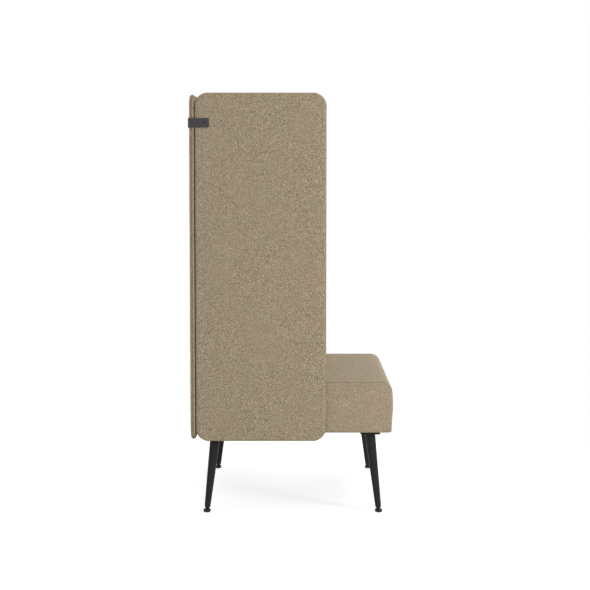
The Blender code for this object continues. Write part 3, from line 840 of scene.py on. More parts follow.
def box_of(*nodes: str) -> tuple[Vector, Vector]:
    """Find the box round some CAD nodes.

    Args:
        nodes: their names.

    Returns:
        The lowest and highest corners.
    """
    boxes = [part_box(node) for node in nodes]
    low = Vector([min(box[0][axis] for box in boxes) for axis in range(3)])
    high = Vector([max(box[1][axis] for box in boxes) for axis in range(3)])
    return low, high


@dataclass
class PaddedScreen:
    """A screen of two thin padded covers that meet in a raised seam round the edge of their board."""

    name: str
    book: FinishBook
    corner_radius: float = 43.5 * MM
    # (inset, height) of the cover's section in mm, from its seam to its flat face
    section: tuple[tuple[float, float], ...] = (
        (1.9, 0.25), (1.25, 0.9), (1.0, 1.9), (1.05, 3.2), (1.5, 4.7), (2.5, 6.1), (4.2, 7.3),
        (6.6, 8.1), (10.0, 8.5), (16.0, 8.7), (27.0, 8.85), (43.5, 8.95),
    )
    spacing: float = 42 * MM
    pocket_inset: float = 8.4 * MM
    pocket_edge: float = 0.25 * MM
    pocket_height: float = 4.45 * MM
    seam_radius: float = 1.15 * MM
    seam_inset: float = 0.85 * MM
    seam_shade: float = 0.34
    edge_shade: float = 0.6
    edge_shade_height: float = 1.4 * MM
    face_height: float = 7.4 * MM
    waviness: float = 0.18 * MM
    clip_press: float = 8.62 * MM
    clip_reach: float = 64 * MM
    clip_half_height: float = 21 * MM
    clip_fade: float = 5 * MM
    # the reach of the crevice's painted shade
    crevice_fade: float = 12 * MM
    crevice_width: float = 17 * MM
    crevice_rim: float = 7 * MM
    hem: float = 1.2 * MM
    fill: float = 0.9

    def __post_init__(self) -> None:
        """Take the screen's place and size from its CAD covers."""
        low, high = box_of(f"{self.name}_outer_cover", f"{self.name}_inner_cover")
        low.z -= self.hem
        self.middle = (low + high) / 2
        size = high - low
        self.height = size.z
        self.is_back = size.x > size.y
        if self.is_back:
            self.outward, self.width = Y_AXIS, size.x
        else:
            self.outward, self.width = X_AXIS if self.middle.x > 0 else -X_AXIS, size.y

    def stations(self, length: float) -> list[float]:
        """Place grid lines across the cover, close together at its edges.

        Args:
            length: the cover's width or height.

        Returns:
            Distances from one edge, in metres.
        """
        edge = [inset * MM for inset, _ in self.section]
        inner = length - 2 * edge[-1]
        count = max(2, round(inner / self.spacing))
        middle = [edge[-1] + inner * step / count for step in range(1, count)]
        return edge + middle + [length - inset for inset in reversed(edge)]

    def grid_point(self, column: int, row: int, across: list[float], along: list[float]) -> Place:
        """Place one point of the cover's grid, with its corners turned round.

        Args:
            column: the grid line across.
            row: the grid line along.
            across: the stations across.
            along: the stations along.

        Returns:
            The place in the screen's own frame.
        """
        last = len(self.section) - 1
        ring_x = min(column, len(across) - 1 - column, last)
        ring_y = min(row, len(along) - 1 - row, last)
        ring = min(ring_x, ring_y)
        inset, height = (value * MM for value in self.section[ring])
        x, y = across[column] - self.width / 2, along[row] - self.height / 2
        if ring_x < last and ring_y < last:
            other = self.section[max(ring_x, ring_y)][0] * MM
            reach = self.corner_radius - inset
            angle = math.pi / 4 * (self.corner_radius - other) / reach if reach else 0.0
            if ring_y < ring_x:
                angle = math.pi / 2 - angle
            x = math.copysign(self.width / 2 - self.corner_radius + reach * math.cos(angle), x)
            y = math.copysign(self.height / 2 - self.corner_radius + reach * math.sin(angle), y)
        return x, y, height

    def pocket_place(self, place: Vector, height: float) -> Vector:
        """Move a point of the outline in to the edge of the pocket that the board fills.

        Args:
            place: a point near the outline.
            height: the new height over the seam's plane.

        Returns:
            The new place.
        """
        limit_x, limit_y = self.width / 2 - self.corner_radius, self.height / 2 - self.corner_radius
        held = Vector((max(-limit_x, min(limit_x, place.x)), max(-limit_y, min(limit_y, place.y)), 0.0))
        outwards = Vector((place.x, place.y, 0.0)) - held
        return held + outwards.normalized() * (self.corner_radius - self.pocket_inset) + height * Z_AXIS

    def cover(self, side: Cover) -> bpy.types.Object:
        """Model one cover in the screen's own frame.

        Args:
            side: which cover.

        Returns:
            The cover, its outside up.
        """
        across, along = self.stations(self.width), self.stations(self.height)
        piece = Workshop.started(
            f"{self.name}_{side.value}_felt",
            bpy.ops.mesh.primitive_grid_add,
            x_subdivisions=len(across) - 1,
            y_subdivisions=len(along) - 1,
            size=1.0,
        )
        start = Workshop.points(piece)
        columns = np.rint((start[:, 0] + 0.5) * (len(across) - 1)).astype(int)
        rows = np.rint((start[:, 1] + 0.5) * (len(along) - 1)).astype(int)
        places = [self.grid_point(column, row, across, along) for column, row in zip(columns, rows)]
        Workshop.move_points(piece, np.array(places))
        Workshop.modified(piece, "SUBSURF", levels=1, render_levels=1)
        self.pad(piece, side)
        with Workshop.editing(piece):
            bpy.ops.mesh.select_mode(type="EDGE")
            bpy.ops.mesh.select_non_manifold()
            for height in (self.pocket_edge, self.pocket_height):
                bpy.ops.mesh.extrude_edges_move(TRANSFORM_OT_translate={"value": (0.0, 0.0, 0.0)})
                body = bmesh.from_edit_mesh(piece.data)
                for point in body.verts:
                    if point.select:
                        point.co = self.pocket_place(point.co, height)
                bmesh.update_edit_mesh(piece.data)
            bpy.ops.mesh.edge_face_add()
        Workshop.closed(piece)
        return piece

    def pad(self, piece: bpy.types.Object, side: Cover) -> None:
        """Give the cover's face its slight unevenness, the painted shade at its seam and in the crevice
        between screens, and the dents under the clips.

        Args:
            piece: the cover.
            side: which cover it is.
        """
        places = Workshop.points(piece)
        x, y, z = places.T
        phase = 1.7 if side is Cover.OUTER else 4.1
        wave = np.sin(x * 21 + phase) * np.sin(y * 13 - phase) + 0.6 * np.sin(x * 37 + y * 29 + phase)
        face = np.clip((z - self.face_height) / MM, 0, 1)
        z = z + self.waviness * wave * face
        if side is Cover.OUTER:
            press = self.clip_pressure(x, y)
            z = np.where(press > 0, z + (np.minimum(z, self.clip_press) - z) * press, z)
        Workshop.move_points(piece, np.stack([x, y, z], axis=1))
        # painted shade: darker where the cover rolls in to its seam, partly the seam's own darker line, and
        # in the crevice where two screens meet
        edge = self.edge_shade * np.clip(1.0 - (z - 0.2 * MM) / self.edge_shade_height, 0, 1)
        Workshop.paint(piece, "seam", np.maximum(edge, self.crevice(side, x, y, z)))

    def crevice(self, side: Cover, x: np.ndarray, y: np.ndarray, z: np.ndarray) -> np.ndarray:
        """Find how far down each point lies between two screens that meet at a rear corner.

        Args:
            side: which cover the points are on.
            x: places across the cover.
            y: places up the cover.
            z: heights over the seam's plane.

        Returns:
            1 at the bottom of the crevice, where the painted shade is fullest, and 0 outside it.
        """
        upright = np.clip((self.height / 2 - 0.5 * self.corner_radius - np.abs(y)) / self.crevice_fade, 0, 1)
        if self.is_back:
            near = np.clip((self.crevice_width - self.width / 2 + np.abs(x)) / (2 * MM), 0, 1)
            deep = np.clip((z - 6.4 * MM) / (1.9 * MM), 0, 1)
            return upright * near * deep * (side is Cover.INNER)
        inset = self.width / 2 - x * self.rear_way(side)
        return upright * np.clip((6.6 * MM - z) / (3.4 * MM), 0, 1) * (inset < self.crevice_rim)

    def clip_pressure(self, x: np.ndarray, y: np.ndarray) -> np.ndarray:
        """Find how much of each point lies under a corner clip.

        Args:
            x: places across the screen.
            y: places up the screen.

        Returns:
            1 under a clip and 0 well outside it.
        """
        low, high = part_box("right_corner_clip")
        height = (low.z + high.z) / 2 - self.middle.z
        up = np.clip((self.clip_half_height - np.abs(y - height)) / self.clip_fade, 0, 1)
        reach = self.width / 2 - self.clip_reach
        rear = np.abs(x) if self.is_back else x * self.rear_way(Cover.OUTER)
        return up * np.clip((rear - reach) / self.clip_fade, 0, 1)

    def rear_way(self, side: Cover) -> float:
        """The sign of a cover's own X axis at the screen's rear edge."""
        return 1.0 if (self.across(side) @ Y_AXIS) > 0 else -1.0

    def across(self, side: Cover) -> Vector:
        """The direction of a cover's own X axis in the world."""
        outward = self.outward if side is Cover.OUTER else -self.outward
        return Z_AXIS.cross(outward)

    def seam(self) -> bpy.types.Object:
        """Model the raised seam where the covers meet.

        Returns:
            The seam, as a cord of cloth round the screen's edge.
        """
        piece = Workshop.started(f"{self.name}_edge_seam", bpy.ops.mesh.primitive_plane_add, size=1.0)
        inset = self.seam_inset
        half = np.array([self.width / 2 - inset, self.height / 2 - inset, 1.0])
        Workshop.move_points(piece, Workshop.points(piece) * 2 * half)
        with Workshop.editing(piece, whole=True):
            bpy.ops.mesh.bevel(offset=self.corner_radius - inset, segments=20, profile=0.5, affect="VERTICES")
            bpy.ops.mesh.select_mode(type="FACE")
            bpy.ops.mesh.select_all(action="SELECT")
            bpy.ops.mesh.delete(type="ONLY_FACE")
        Workshop.take(piece)
        bpy.ops.object.convert(target="CURVE")
        piece = bpy.context.active_object
        piece.data.bevel_depth = self.seam_radius
        piece.data.bevel_resolution = 3
        bpy.ops.object.convert(target="MESH")
        piece = bpy.context.active_object
        Workshop.closed(piece)
        # painted shade over the whole cord, together with the seam's own darker tone
        Workshop.paint(piece, "seam", np.full(len(piece.data.vertices), self.seam_shade))
        return piece

    def build(self) -> None:
        """Model both covers and their seam, and set them in place."""
        for side in Cover:
            piece = self.cover(side)
            self.set_up(piece, side)
            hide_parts(f"{self.name}_{side.value}_cover")
        self.set_up(self.seam(), Cover.OUTER)

    def set_up(self, piece: bpy.types.Object, side: Cover) -> None:
        """Move a piece from a cover's own frame to its place, and dress it.

        Args:
            piece: the piece.
            side: the cover whose frame it was modelled in.
        """
        piece.data.transform(frame_of(self.middle, self.across(side), Z_AXIS))
        Workshop.smoothed(piece, 60.0)
        self.book.lay(piece, Slot.FELT)
        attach(piece, CHAIR)


@dataclass
class BoxedCushion:
    """A cushion whose top and front are one wrap, sewn to two side panels and blown up as cloth."""

    name: str
    node: str
    book: FinishBook
    half_width: float
    corners: tuple[tuple[float, float], ...]
    radii: tuple[float, ...]
    top_swell: float
    front_swell: float
    draw_in: float = 0.0
    bow: float = 0.0
    bow_height: float = 0.0
    bow_spread: float = 48 * MM
    edge_radius: float = 11 * MM
    seam_inset: float = 4.5 * MM
    voxel: float = 7.5 * MM
    pressure: float = 4.0
    cap: float = 24 * MM
    fill: float = 0.85
    held_inset: float = 4 * MM
    held_spread: float = 3.6 * MM
    held_edge: float = 3 * MM
    # distances from the seam in mm
    seam_loops: tuple[float, ...] = (-4.2, -2.4, -1.2, -0.5, 0.0, 0.5, 1.2, 2.4, 4.2)
    seam_reach: float = 12 * MM
    groove_depth: float = 1.5 * MM
    lip_height: float = 0.45 * MM
    seam_shade: float = 0.48
    front_fade: float = 0.0
    fade_start: float = 26 * MM
    fade_length: float = 14 * MM
    cloth_steps: int = 20

    def __post_init__(self) -> None:
        """Find the cushion's reach along Y and Z from its corners."""
        self.ys, self.zs = zip(*self.corners)

    @staticmethod
    def centred(values: np.ndarray, reach: Sequence[float]) -> np.ndarray:
        """Scale places so that their reach becomes -1 to 1."""
        return (values - (min(reach) + max(reach)) / 2) / ((max(reach) - min(reach)) / 2)

    def blank(self) -> bpy.types.Object:
        """Model the unfilled form: a block with its wedge, its roundings and its rolled side edges.

        Returns:
            The form, in place.
        """
        low = (-self.half_width, min(self.ys), min(self.zs))
        high = (self.half_width, max(self.ys), max(self.zs))
        piece = Workshop.block(self.name, low, high)
        front_top = self.corners[3]
        with Workshop.editing(piece):
            lean = front_top[0] - low[1]
            if lean:
                Workshop.choose(
                    piece,
                    Domain.EDGES,
                    lambda p, d: abs(d.x) > 0.9 and p.y < low[1] + MM and p.z > high[2] - MM,
                )
                bpy.ops.transform.translate(value=(0.0, lean, 0.0))
            for (y, z), radius in zip(self.corners, self.radii):
                Workshop.bevel(
                    piece, lambda p, d: abs(d.x) > 0.9 and math.hypot(p.y - y, p.z - z) < 0.5 * MM, radius, 7
                )
            side = self.half_width - 0.1 * MM
            Workshop.bevel(piece, lambda p, d: abs(p.x) > side and abs(d.x) < 0.1, self.edge_radius, 4)
        piece.data.remesh_voxel_size = self.voxel
        Workshop.take(piece)
        bpy.ops.object.voxel_remesh()
        places = Workshop.points(piece)
        forward = np.clip(((low[1] + high[1]) / 2 - places[:, 1]) / ((high[1] - low[1]) / 2), 0, 1)
        above = (places[:, 2] - self.bow_height) / self.bow_spread
        places[:, 1] -= self.bow * forward * np.exp(-(above**2))
        Workshop.move_points(piece, places)
        return piece

    def held(self, rest: np.ndarray) -> np.ndarray:
        """Find the points that the seams, the base and the rear hold still.

        Args:
            rest: the unfilled form's points.

        Returns:
            True for each held point.
        """
        x, y, z = rest.T
        sewn = np.abs(np.abs(x) - (self.half_width - self.held_inset)) < self.held_spread
        return sewn | (z < min(self.zs) + self.held_edge) | (y > max(self.ys) - self.held_edge)

    def simulate(self, piece: bpy.types.Object, rest: np.ndarray) -> np.ndarray:
        """Blow the form up as cloth.

        Args:
            piece: the unfilled form.
            rest: its points.

        Returns:
            Its points after the simulation.
        """
        group = piece.vertex_groups.new(name="held")
        group.add([int(index) for index in np.flatnonzero(self.held(rest))], 1.0, "REPLACE")
        Workshop.take(piece)
        cloth = piece.modifiers.new("inflate", "CLOTH")
        felt = cloth.settings
        felt.quality = 4
        felt.mass = 0.25
        felt.tension_stiffness = felt.compression_stiffness = 22
        felt.shear_stiffness = 8
        felt.bending_stiffness = 1.5
        felt.use_pressure = True
        felt.uniform_pressure_force = self.pressure
        felt.vertex_group_mass = "held"
        felt.effector_weights.gravity = 0.0
        cloth.collision_settings.use_collision = False
        cloth.point_cache.frame_start, cloth.point_cache.frame_end = 1, self.cloth_steps
        for step in range(1, self.cloth_steps + 1):
            bpy.context.scene.frame_set(step)
        bpy.ops.object.modifier_apply(modifier=cloth.name)
        bpy.context.scene.frame_set(1)
        return Workshop.points(piece)

    def settle(self, rest: np.ndarray, moved: np.ndarray) -> np.ndarray:
        """Cap the swelling and bring its top and front to the real cushion's crowns.

        Args:
            rest: the unfilled form's points.
            moved: its points after the simulation.

        Returns:
            The settled points.
        """
        shift = moved - rest
        length = np.linalg.norm(shift, axis=1, keepdims=True)
        shift *= np.minimum(1.0, self.cap / np.maximum(length, 1e-9))
        rise, push = max(shift[:, 2].max(), 1e-6), max(-shift[:, 1].min(), 1e-6)
        LOG.info("%s swelled %.1f mm up, %.1f mm forwards", self.name, rise / MM, push / MM)
        shift[:, 2] = np.where(shift[:, 2] > 0, shift[:, 2] * self.top_swell / rise, 0.0)
        shift[:, 1] = np.where(shift[:, 1] < 0, shift[:, 1] * self.front_swell / push, 0.0)
        shift[:, 0] *= 0.25
        settled = rest + shift
        w = self.centred(settled[:, 2], self.zs)
        limit = self.half_width - 0.1 * MM
        settled[:, 0] = np.clip(settled[:, 0], -limit, limit)
        settled[:, 0] *= 1 - self.draw_in / self.half_width * np.clip(1 - w**2, 0, 1)
        return settled

    def sew(self, piece: bpy.types.Object) -> None:
        """Cut loops along both side seams and press the sewn groove into them.

        Args:
            piece: the settled cushion.
        """
        seam_x = self.half_width - self.seam_inset
        with Workshop.editing(piece):
            for way in (-1, 1):
                for offset in self.seam_loops:
                    cut = way * (seam_x + offset * MM)
                    Workshop.choose(
                        piece, Domain.FACES, lambda p, n: abs(p.x - way * seam_x) < self.seam_reach
                    )
                    bpy.ops.mesh.bisect(plane_co=(cut, 0, 0), plane_no=(1, 0, 0))
        places, normals = Workshop.points(piece), Workshop.points(piece, "normal")
        away = np.abs(np.abs(places[:, 0]) - seam_x) / MM
        front, top = self.corners[3]
        below = np.clip((top - self.fade_start - places[:, 2]) / self.fade_length, 0, 1)
        shown = 1 - self.front_fade * below * (places[:, 1] < front + 12 * MM)
        depth = -self.groove_depth * shown * np.exp(-((away / 1.0) ** 2))
        depth += self.lip_height * shown * np.exp(-(((away - 2.6) / 1.1) ** 2))
        Workshop.move_points(piece, places + normals * depth[:, None])
        # painted shade along the seam groove, with the seam's own darker line; fainter down the front
        Workshop.paint(piece, "seam", self.seam_shade * shown * np.exp(-((away / 1.1) ** 2)))
        # marks the cushion for its brushed nap and for its painted light
        Workshop.paint(piece, "brushed_and_lit", np.ones(len(places)))

    def build(self) -> None:
        """Model, blow up, settle, sew and dress the cushion."""
        piece = self.blank()
        rest = Workshop.points(piece)
        moved = self.simulate(piece, rest)
        Workshop.move_points(piece, self.settle(rest, moved))
        Workshop.modified(piece, "SUBSURF", levels=1, render_levels=1)
        self.sew(piece)
        Workshop.smoothed(piece, 80.0)
        self.book.lay(piece, Slot.FELT)
        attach(piece, CHAIR)
        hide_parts(self.node)


@dataclass
class Upholstery:
    """The seat and the backrest cushions."""

    book: FinishBook
    seat_crown: float = 7 * MM
    seat_bulge: float = 3 * MM
    seat_bow: float = 3.9 * MM
    seat_bow_height: float = 357 * MM
    seat_roll: float = 1.1 * MM
    back_crown: float = 14 * MM
    back_top_crown: float = 3 * MM
    back_top_depth: float = 72 * MM

    def build(self) -> None:
        """Build both cushions inside the boxes of their CAD solids."""
        low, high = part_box("seat_cover")
        front, top, foot = low.y + self.seat_bulge, high.z - self.seat_crown, low.z - self.seat_roll
        BoxedCushion(
            name="seat_felt",
            node="seat_cover",
            book=self.book,
            half_width=high.x,
            corners=((front, foot), (high.y, foot), (high.y, top), (front, top)),
            radii=(6 * MM, 12 * MM, 12 * MM, 32 * MM),
            top_swell=self.seat_crown,
            front_swell=1 * MM,
            bow=self.seat_bow,
            bow_height=self.seat_bow_height,
            front_fade=0.75,
        ).build()
        low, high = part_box("backrest_cushion")
        front, top = low.y + self.back_crown, high.z - self.back_top_crown
        BoxedCushion(
            name="backrest_felt",
            node="backrest_cushion",
            book=self.book,
            half_width=high.x,
            corners=((front, low.z), (high.y, low.z), (high.y, top), (high.y - self.back_top_depth, top)),
            radii=(24 * MM, 8 * MM, 8 * MM, 24 * MM),
            top_swell=self.back_top_crown,
            front_swell=self.back_crown,
            draw_in=4 * MM,
        ).build()


@dataclass(frozen=True)
class Countersink:
    """A screw hole through a plate, with a coned mouth."""

    mouth_radius: float
    shank_radius: float
    cone_depth: float

    def cut(self, piece: bpy.types.Object, seat: Matrix) -> None:
        """Cut the hole.

        Args:
            piece: the plate.
            seat: the frame at the hole's mouth, with +Z out of the plate.
        """
        mouth, shank, end, above = self.mouth_radius, self.shank_radius, -9 * MM, 2 * MM
        shaft = [(0.0, end), (shank, end), (shank, -self.cone_depth)]
        profile = shaft + [(mouth, 0.0), (mouth, above), (0.0, above)]
        tool = Workshop.turned("countersink_tool", profile, 40)
        tool.data.transform(seat)
        Workshop.cut_with(piece, tool)


@dataclass
class SocketScrew:
    """A screw with a hexagon socket, its seat on the plane z = 0 and its head up."""

    name: str
    head_radius: float
    head_height: float
    socket_radius: float
    socket_depth: float
    countersunk: bool = False
    shank_radius: float = 2 * MM
    shank_length: float = 5 * MM
    steps: int = 32

    def build(self) -> bpy.types.Object:
        """Turn the screw and cut its socket.

        Returns:
            The screw, to be copied.
        """
        radius, height, shank = self.head_radius, self.head_height, self.shank_radius
        if self.countersunk:
            head = [(shank, -height), (radius - 0.15 * MM, -0.25 * MM), (radius - 0.05 * MM, -0.08 * MM)]
            head += [(radius - 0.3 * MM, 0.0), (0.0, 0.0)]
        else:
            head = [(shank, 0.0), (radius - 0.25 * MM, 0.0), (radius, 0.25 * MM), (radius, 0.42 * height)]
            head += [(0.94 * radius, 0.68 * height), (0.78 * radius, 0.88 * height), (0.52 * radius, height)]
            head += [(0.0, height)]
        end = -self.shank_length
        foot = [(0.0, end), (0.7 * shank, end), (shank, end + 0.8 * MM)]
        piece = Workshop.turned(self.name, foot + head, self.steps)
        socket = Workshop.started(
            "socket_tool",
            bpy.ops.mesh.primitive_cylinder_add,
            vertices=6,
            radius=self.socket_radius,
            depth=2 * self.socket_depth,
            location=(0.0, 0.0, 0.0 if self.countersunk else height),
        )
        Workshop.cut_with(piece, socket)
        Workshop.smoothed(piece, 30.0)
        return piece


@dataclass
class AngleStrap:
    """A folded steel strap: its outer corner on the Z axis, its arms along +X and +Y."""

    name: str
    first_arm: float
    second_arm: float
    thickness: float
    width: float
    end_radius: float
    bend_radius: float
    inner_bend_radius: float = 0.6 * MM
    edge_radius: float = 0.35 * MM

    def build(self) -> bpy.types.Object:
        """Fold and round the strap.

        Returns:
            The strap, to be copied.
        """
        half, wall = self.width / 2, self.thickness
        first, second, near = self.first_arm, self.second_arm, 0.05 * MM
        piece = Workshop.block(self.name, (0, 0, -half), (first, wall, half))
        with Workshop.editing(piece, whole=True):
            bpy.ops.mesh.bisect(plane_co=(wall, 0, 0), plane_no=(1, 0, 0))
            Workshop.choose(piece, Domain.FACES, lambda p, n: n.y > 0.9 and p.x < wall)
            bpy.ops.mesh.extrude_region_move(TRANSFORM_OT_translate={"value": (0, second - wall, 0)})
            Workshop.bevel(piece, lambda p, d: p.x > first - near and abs(d.y) > 0.9, self.end_radius, 8)
            Workshop.bevel(piece, lambda p, d: p.y > second - near and abs(d.x) > 0.9, self.end_radius, 8)
            for bend, radius, steps in ((0.0, self.bend_radius, 6), (wall, self.inner_bend_radius, 3)):
                Workshop.bevel(
                    piece,
                    lambda p, d: abs(d.z) > 0.9 and abs(p.x - bend) < near and abs(p.y - bend) < near,
                    radius,
                    steps,
                )
        Workshop.softened(piece, self.edge_radius, 2, 50.0)
        return piece


@dataclass
class CornerClips:
    """The two straps that hold the screens' rear corners together, with their countersunk screws."""

    book: FinishBook
    thickness: float = 2.5 * MM
    end_radius: float = 6 * MM
    bend_radius: float = 3 * MM
    screw_from_end: float = 15 * MM
    screw_depth: float = 0.3 * MM
    hole: Countersink = Countersink(4.4 * MM, 2.3 * MM, 2.2 * MM)

    def build(self) -> None:
        """Fold one clip and turn one screw, and copy them to both corners."""
        low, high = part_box("right_corner_clip")
        arm, width = high.x - low.x, high.z - low.z
        strap = AngleStrap(
            name="clip_blank",
            first_arm=arm,
            second_arm=arm,
            thickness=self.thickness,
            width=width,
            end_radius=self.end_radius,
            bend_radius=self.bend_radius,
        ).build()
        along = arm - self.screw_from_end
        for place, outwards in ((along * X_AXIS, -Y_AXIS), (along * Y_AXIS, -X_AXIS)):
            self.hole.cut(strap, frame_of(place, Z_AXIS, outwards.cross(Z_AXIS)))
        Workshop.smoothed(strap, 30.0)
        screw = SocketScrew(
            name="clip_screw_blank",
            head_radius=4 * MM,
            head_height=2.1 * MM,
            socket_radius=2.8 * MM,
            socket_depth=1.8 * MM,
            countersunk=True,
            shank_length=14 * MM,
        ).build()
        for side, way in SIDES:
            low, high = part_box(f"{side}_corner_clip")
            corner = Vector((low.x if way < 0 else high.x, high.y, (low.z + high.z) / 2))
            inwards = -way * X_AXIS
            arms = (-Y_AXIS, inwards) if way < 0 else (inwards, -Y_AXIS)
            clip = Workshop.copied(strap, f"{side}_corner_strap", frame_of(corner, *arms))
            self.book.lay(clip, Slot.GREY_COAT)
            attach(clip, CHAIR)
            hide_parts(f"{side}_corner_clip")
            for part, run, outwards in (("side", -Y_AXIS, -inwards), ("back", inwards, Y_AXIS)):
                mouth = corner + run * along
                place = frame_of(mouth - outwards * self.screw_depth, Z_AXIS.cross(outwards), Z_AXIS)
                piece = Workshop.copied(screw, f"{side}_clip_{part}_fixing", place)
                self.book.lay(piece, Slot.GREY_COAT)
                piece.data.materials.append(self.book.materials[Slot.BLACK_COAT])
                self.blacken_socket(piece, mouth, outwards)
                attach(piece, CHAIR)
                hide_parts(f"{side}_clip_{part}_screw")
        Workshop.discard(strap, screw)

    @staticmethod
    def blacken_socket(piece: bpy.types.Object, middle: Vector, outwards: Vector) -> None:
        """Give a screw's socket the black finish.

        Args:
            piece: the screw.
            middle: the middle of its hole's mouth.
            outwards: the way that its head faces.
        """
        for face in piece.data.polygons:
            away = Vector(face.center) - middle
            if away.length < 3.2 * MM and away.dot(outwards) < -0.45 * MM:
                face.material_index = 1


@dataclass
class SeatBase:
    """What fixes the chair together below: the screen brackets, their screws and the cloth's staples."""

    book: FinishBook
    bracket_thickness: float = 3 * MM
    bracket_width: float = 40 * MM
    seat_arm: float = 42 * MM
    screen_arm: float = 18 * MM
    end_radius: float = 4 * MM
    bend_radius: float = 3 * MM
    hole_spacing: float = 22 * MM
    seat_hole_from_end: float = 11 * MM
    screen_hole_from_end: float = 7 * MM
    board_corner: float = 6 * MM
    board_chamfer: float = 10 * MM
    board_step: float = 3.5 * MM
    staple_spacing: float = 46 * MM
    staple_inset: float = 17 * MM
    staple_clearance: float = 8 * MM
    staple_half: float = 5 * MM
    staple_wire: float = 0.55 * MM

    def build(self) -> None:
        """Build the brackets with their screws, and the staples."""
        screw = SocketScrew(
            name="bracket_screw_blank",
            head_radius=4.2 * MM,
            head_height=2.3 * MM,
            socket_radius=1.9 * MM,
            socket_depth=1.3 * MM,
        ).build()
        strap = AngleStrap(
            name="bracket_blank",
            first_arm=self.seat_arm,
            second_arm=self.screen_arm,
            thickness=self.bracket_thickness,
            width=self.bracket_width,
            end_radius=self.end_radius,
            bend_radius=self.bend_radius,
        ).build()
        for side, way in SIDES:
            for end in ("front", "rear"):
                low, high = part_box(f"{side}_{end}_bracket")
                corner = Vector((low.x if way < 0 else high.x, (low.y + high.y) / 2, high.z))
                self.bracket(f"{side}_{end}_bracket", strap, screw, corner, -way * X_AXIS)
            low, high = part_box(f"back_{side}_bracket")
            corner = Vector(((low.x + high.x) / 2, high.y, high.z))
            self.bracket(f"back_{side}_bracket", strap, screw, corner, -Y_AXIS)
        Workshop.discard(strap, screw)
        self.board()
        self.staples()

    def board(self) -> None:
        """Model the base board under its black cloth, its lower edges planed back out of sight."""
        low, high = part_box("seat_base_board")
        middle, size = (low + high) / 2, high - low
        piece = Workshop.block("base_board", low + Vector((0.0, 0.0, self.board_step)), high)
        with Workshop.editing(piece):
            Workshop.bevel(piece, lambda p, d: abs(d.z) > 0.9, self.board_corner, 5)
            Workshop.choose(piece, Domain.FACES, lambda p, n: n.z < -0.9)
            bpy.ops.mesh.extrude_region_move(TRANSFORM_OT_translate={"value": (0, 0, -self.board_step)})
            share = [1 - 2 * self.board_chamfer / side for side in (size.x, size.y)]
            bpy.ops.transform.resize(value=(*share, 1.0), center_override=middle)
        Workshop.softened(piece, 1.2 * MM, 2, 10.0)
        self.book.lay(piece, Slot.BASE_CLOTH)
        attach(piece, CHAIR)
        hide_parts("seat_base_board")

    def bracket(
        self, node: str, strap: bpy.types.Object, screw: bpy.types.Object, corner: Vector, inwards: Vector
    ) -> None:
        """Set one bracket and its four screws in place.

        Args:
            node: the CAD bracket's name.
            strap: the strap to copy.
            screw: the screw to copy.
            corner: the bracket's outer corner.
            inwards: the way that its seat arm runs.
        """
        piece = Workshop.copied(strap, f"{node}_plate", frame_of(corner, inwards, -Z_AXIS))
        self.book.lay(piece, Slot.ZINC)
        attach(piece, CHAIR)
        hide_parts(node)
        sideways = Z_AXIS.cross(inwards)
        wall = self.bracket_thickness
        screws = []
        for way in (-1, 1):
            across = sideways * (way * self.hole_spacing / 2)
            seat = corner + inwards * (self.seat_arm - self.seat_hole_from_end) - Z_AXIS * wall + across
            screen = corner - Z_AXIS * (self.screen_arm - self.screen_hole_from_end) + inwards * wall + across
            for place, outwards in ((seat, -Z_AXIS), (screen, inwards)):
                matrix = frame_of(place, sideways, outwards.cross(sideways))
                screws.append(Workshop.copied(screw, "screw", matrix))
        screws = Workshop.joined(f"{node}_screws", screws)
        self.book.lay(screws, Slot.ZINC)
        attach(screws, CHAIR)

    def staples(self) -> None:
        """Model one staple and set a row of them along each edge of the base board."""
        low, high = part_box("seat_base_board")
        half, wire, sunk = self.staple_half, self.staple_wire, 0.1 * MM
        blank = Workshop.block("staple_blank", (-half, -wire, low.z - wire), (half, wire, low.z + sunk))
        with Workshop.editing(blank):
            Workshop.bevel(blank, lambda p, d: abs(p.x) > 0.98 * half and abs(d.y) > 0.9, 0.5 * MM, 3)
        Workshop.softened(blank, 0.15 * MM, 1)
        taken = [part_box(f"{corner}_leg_plate") for corner in CORNERS]
        for side, _ in SIDES:
            nodes = (f"{side}_front_bracket", f"{side}_rear_bracket", f"back_{side}_bracket")
            taken += [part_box(node) for node in nodes]
        clear = self.staple_clearance
        copies = []
        for axis in (0, 1):
            length = high[axis] - low[axis]
            count = round(length / self.staple_spacing)
            for edge in (low[1 - axis] + self.staple_inset, high[1 - axis] - self.staple_inset):
                for step in range(count):
                    place = Vector((0.0, 0.0, 0.0))
                    place[axis] = low[axis] + length * (step + 0.5) / count
                    place[1 - axis] = edge
                    if any(
                        box[0].x - clear < place.x < box[1].x + clear
                        and box[0].y - clear < place.y < box[1].y + clear
                        for box in taken
                    ):
                        continue
                    turn = math.radians(90 * axis + 7 * math.sin(step * 2.4 + axis))
                    matrix = Matrix.Translation(place) @ Matrix.Rotation(turn, 4, "Z")
                    copies.append(Workshop.copied(blank, "staple", matrix))
        Workshop.discard(blank)
        piece = Workshop.joined("base_staples", copies)
        self.book.lay(piece, Slot.ZINC)
        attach(piece, CHAIR)


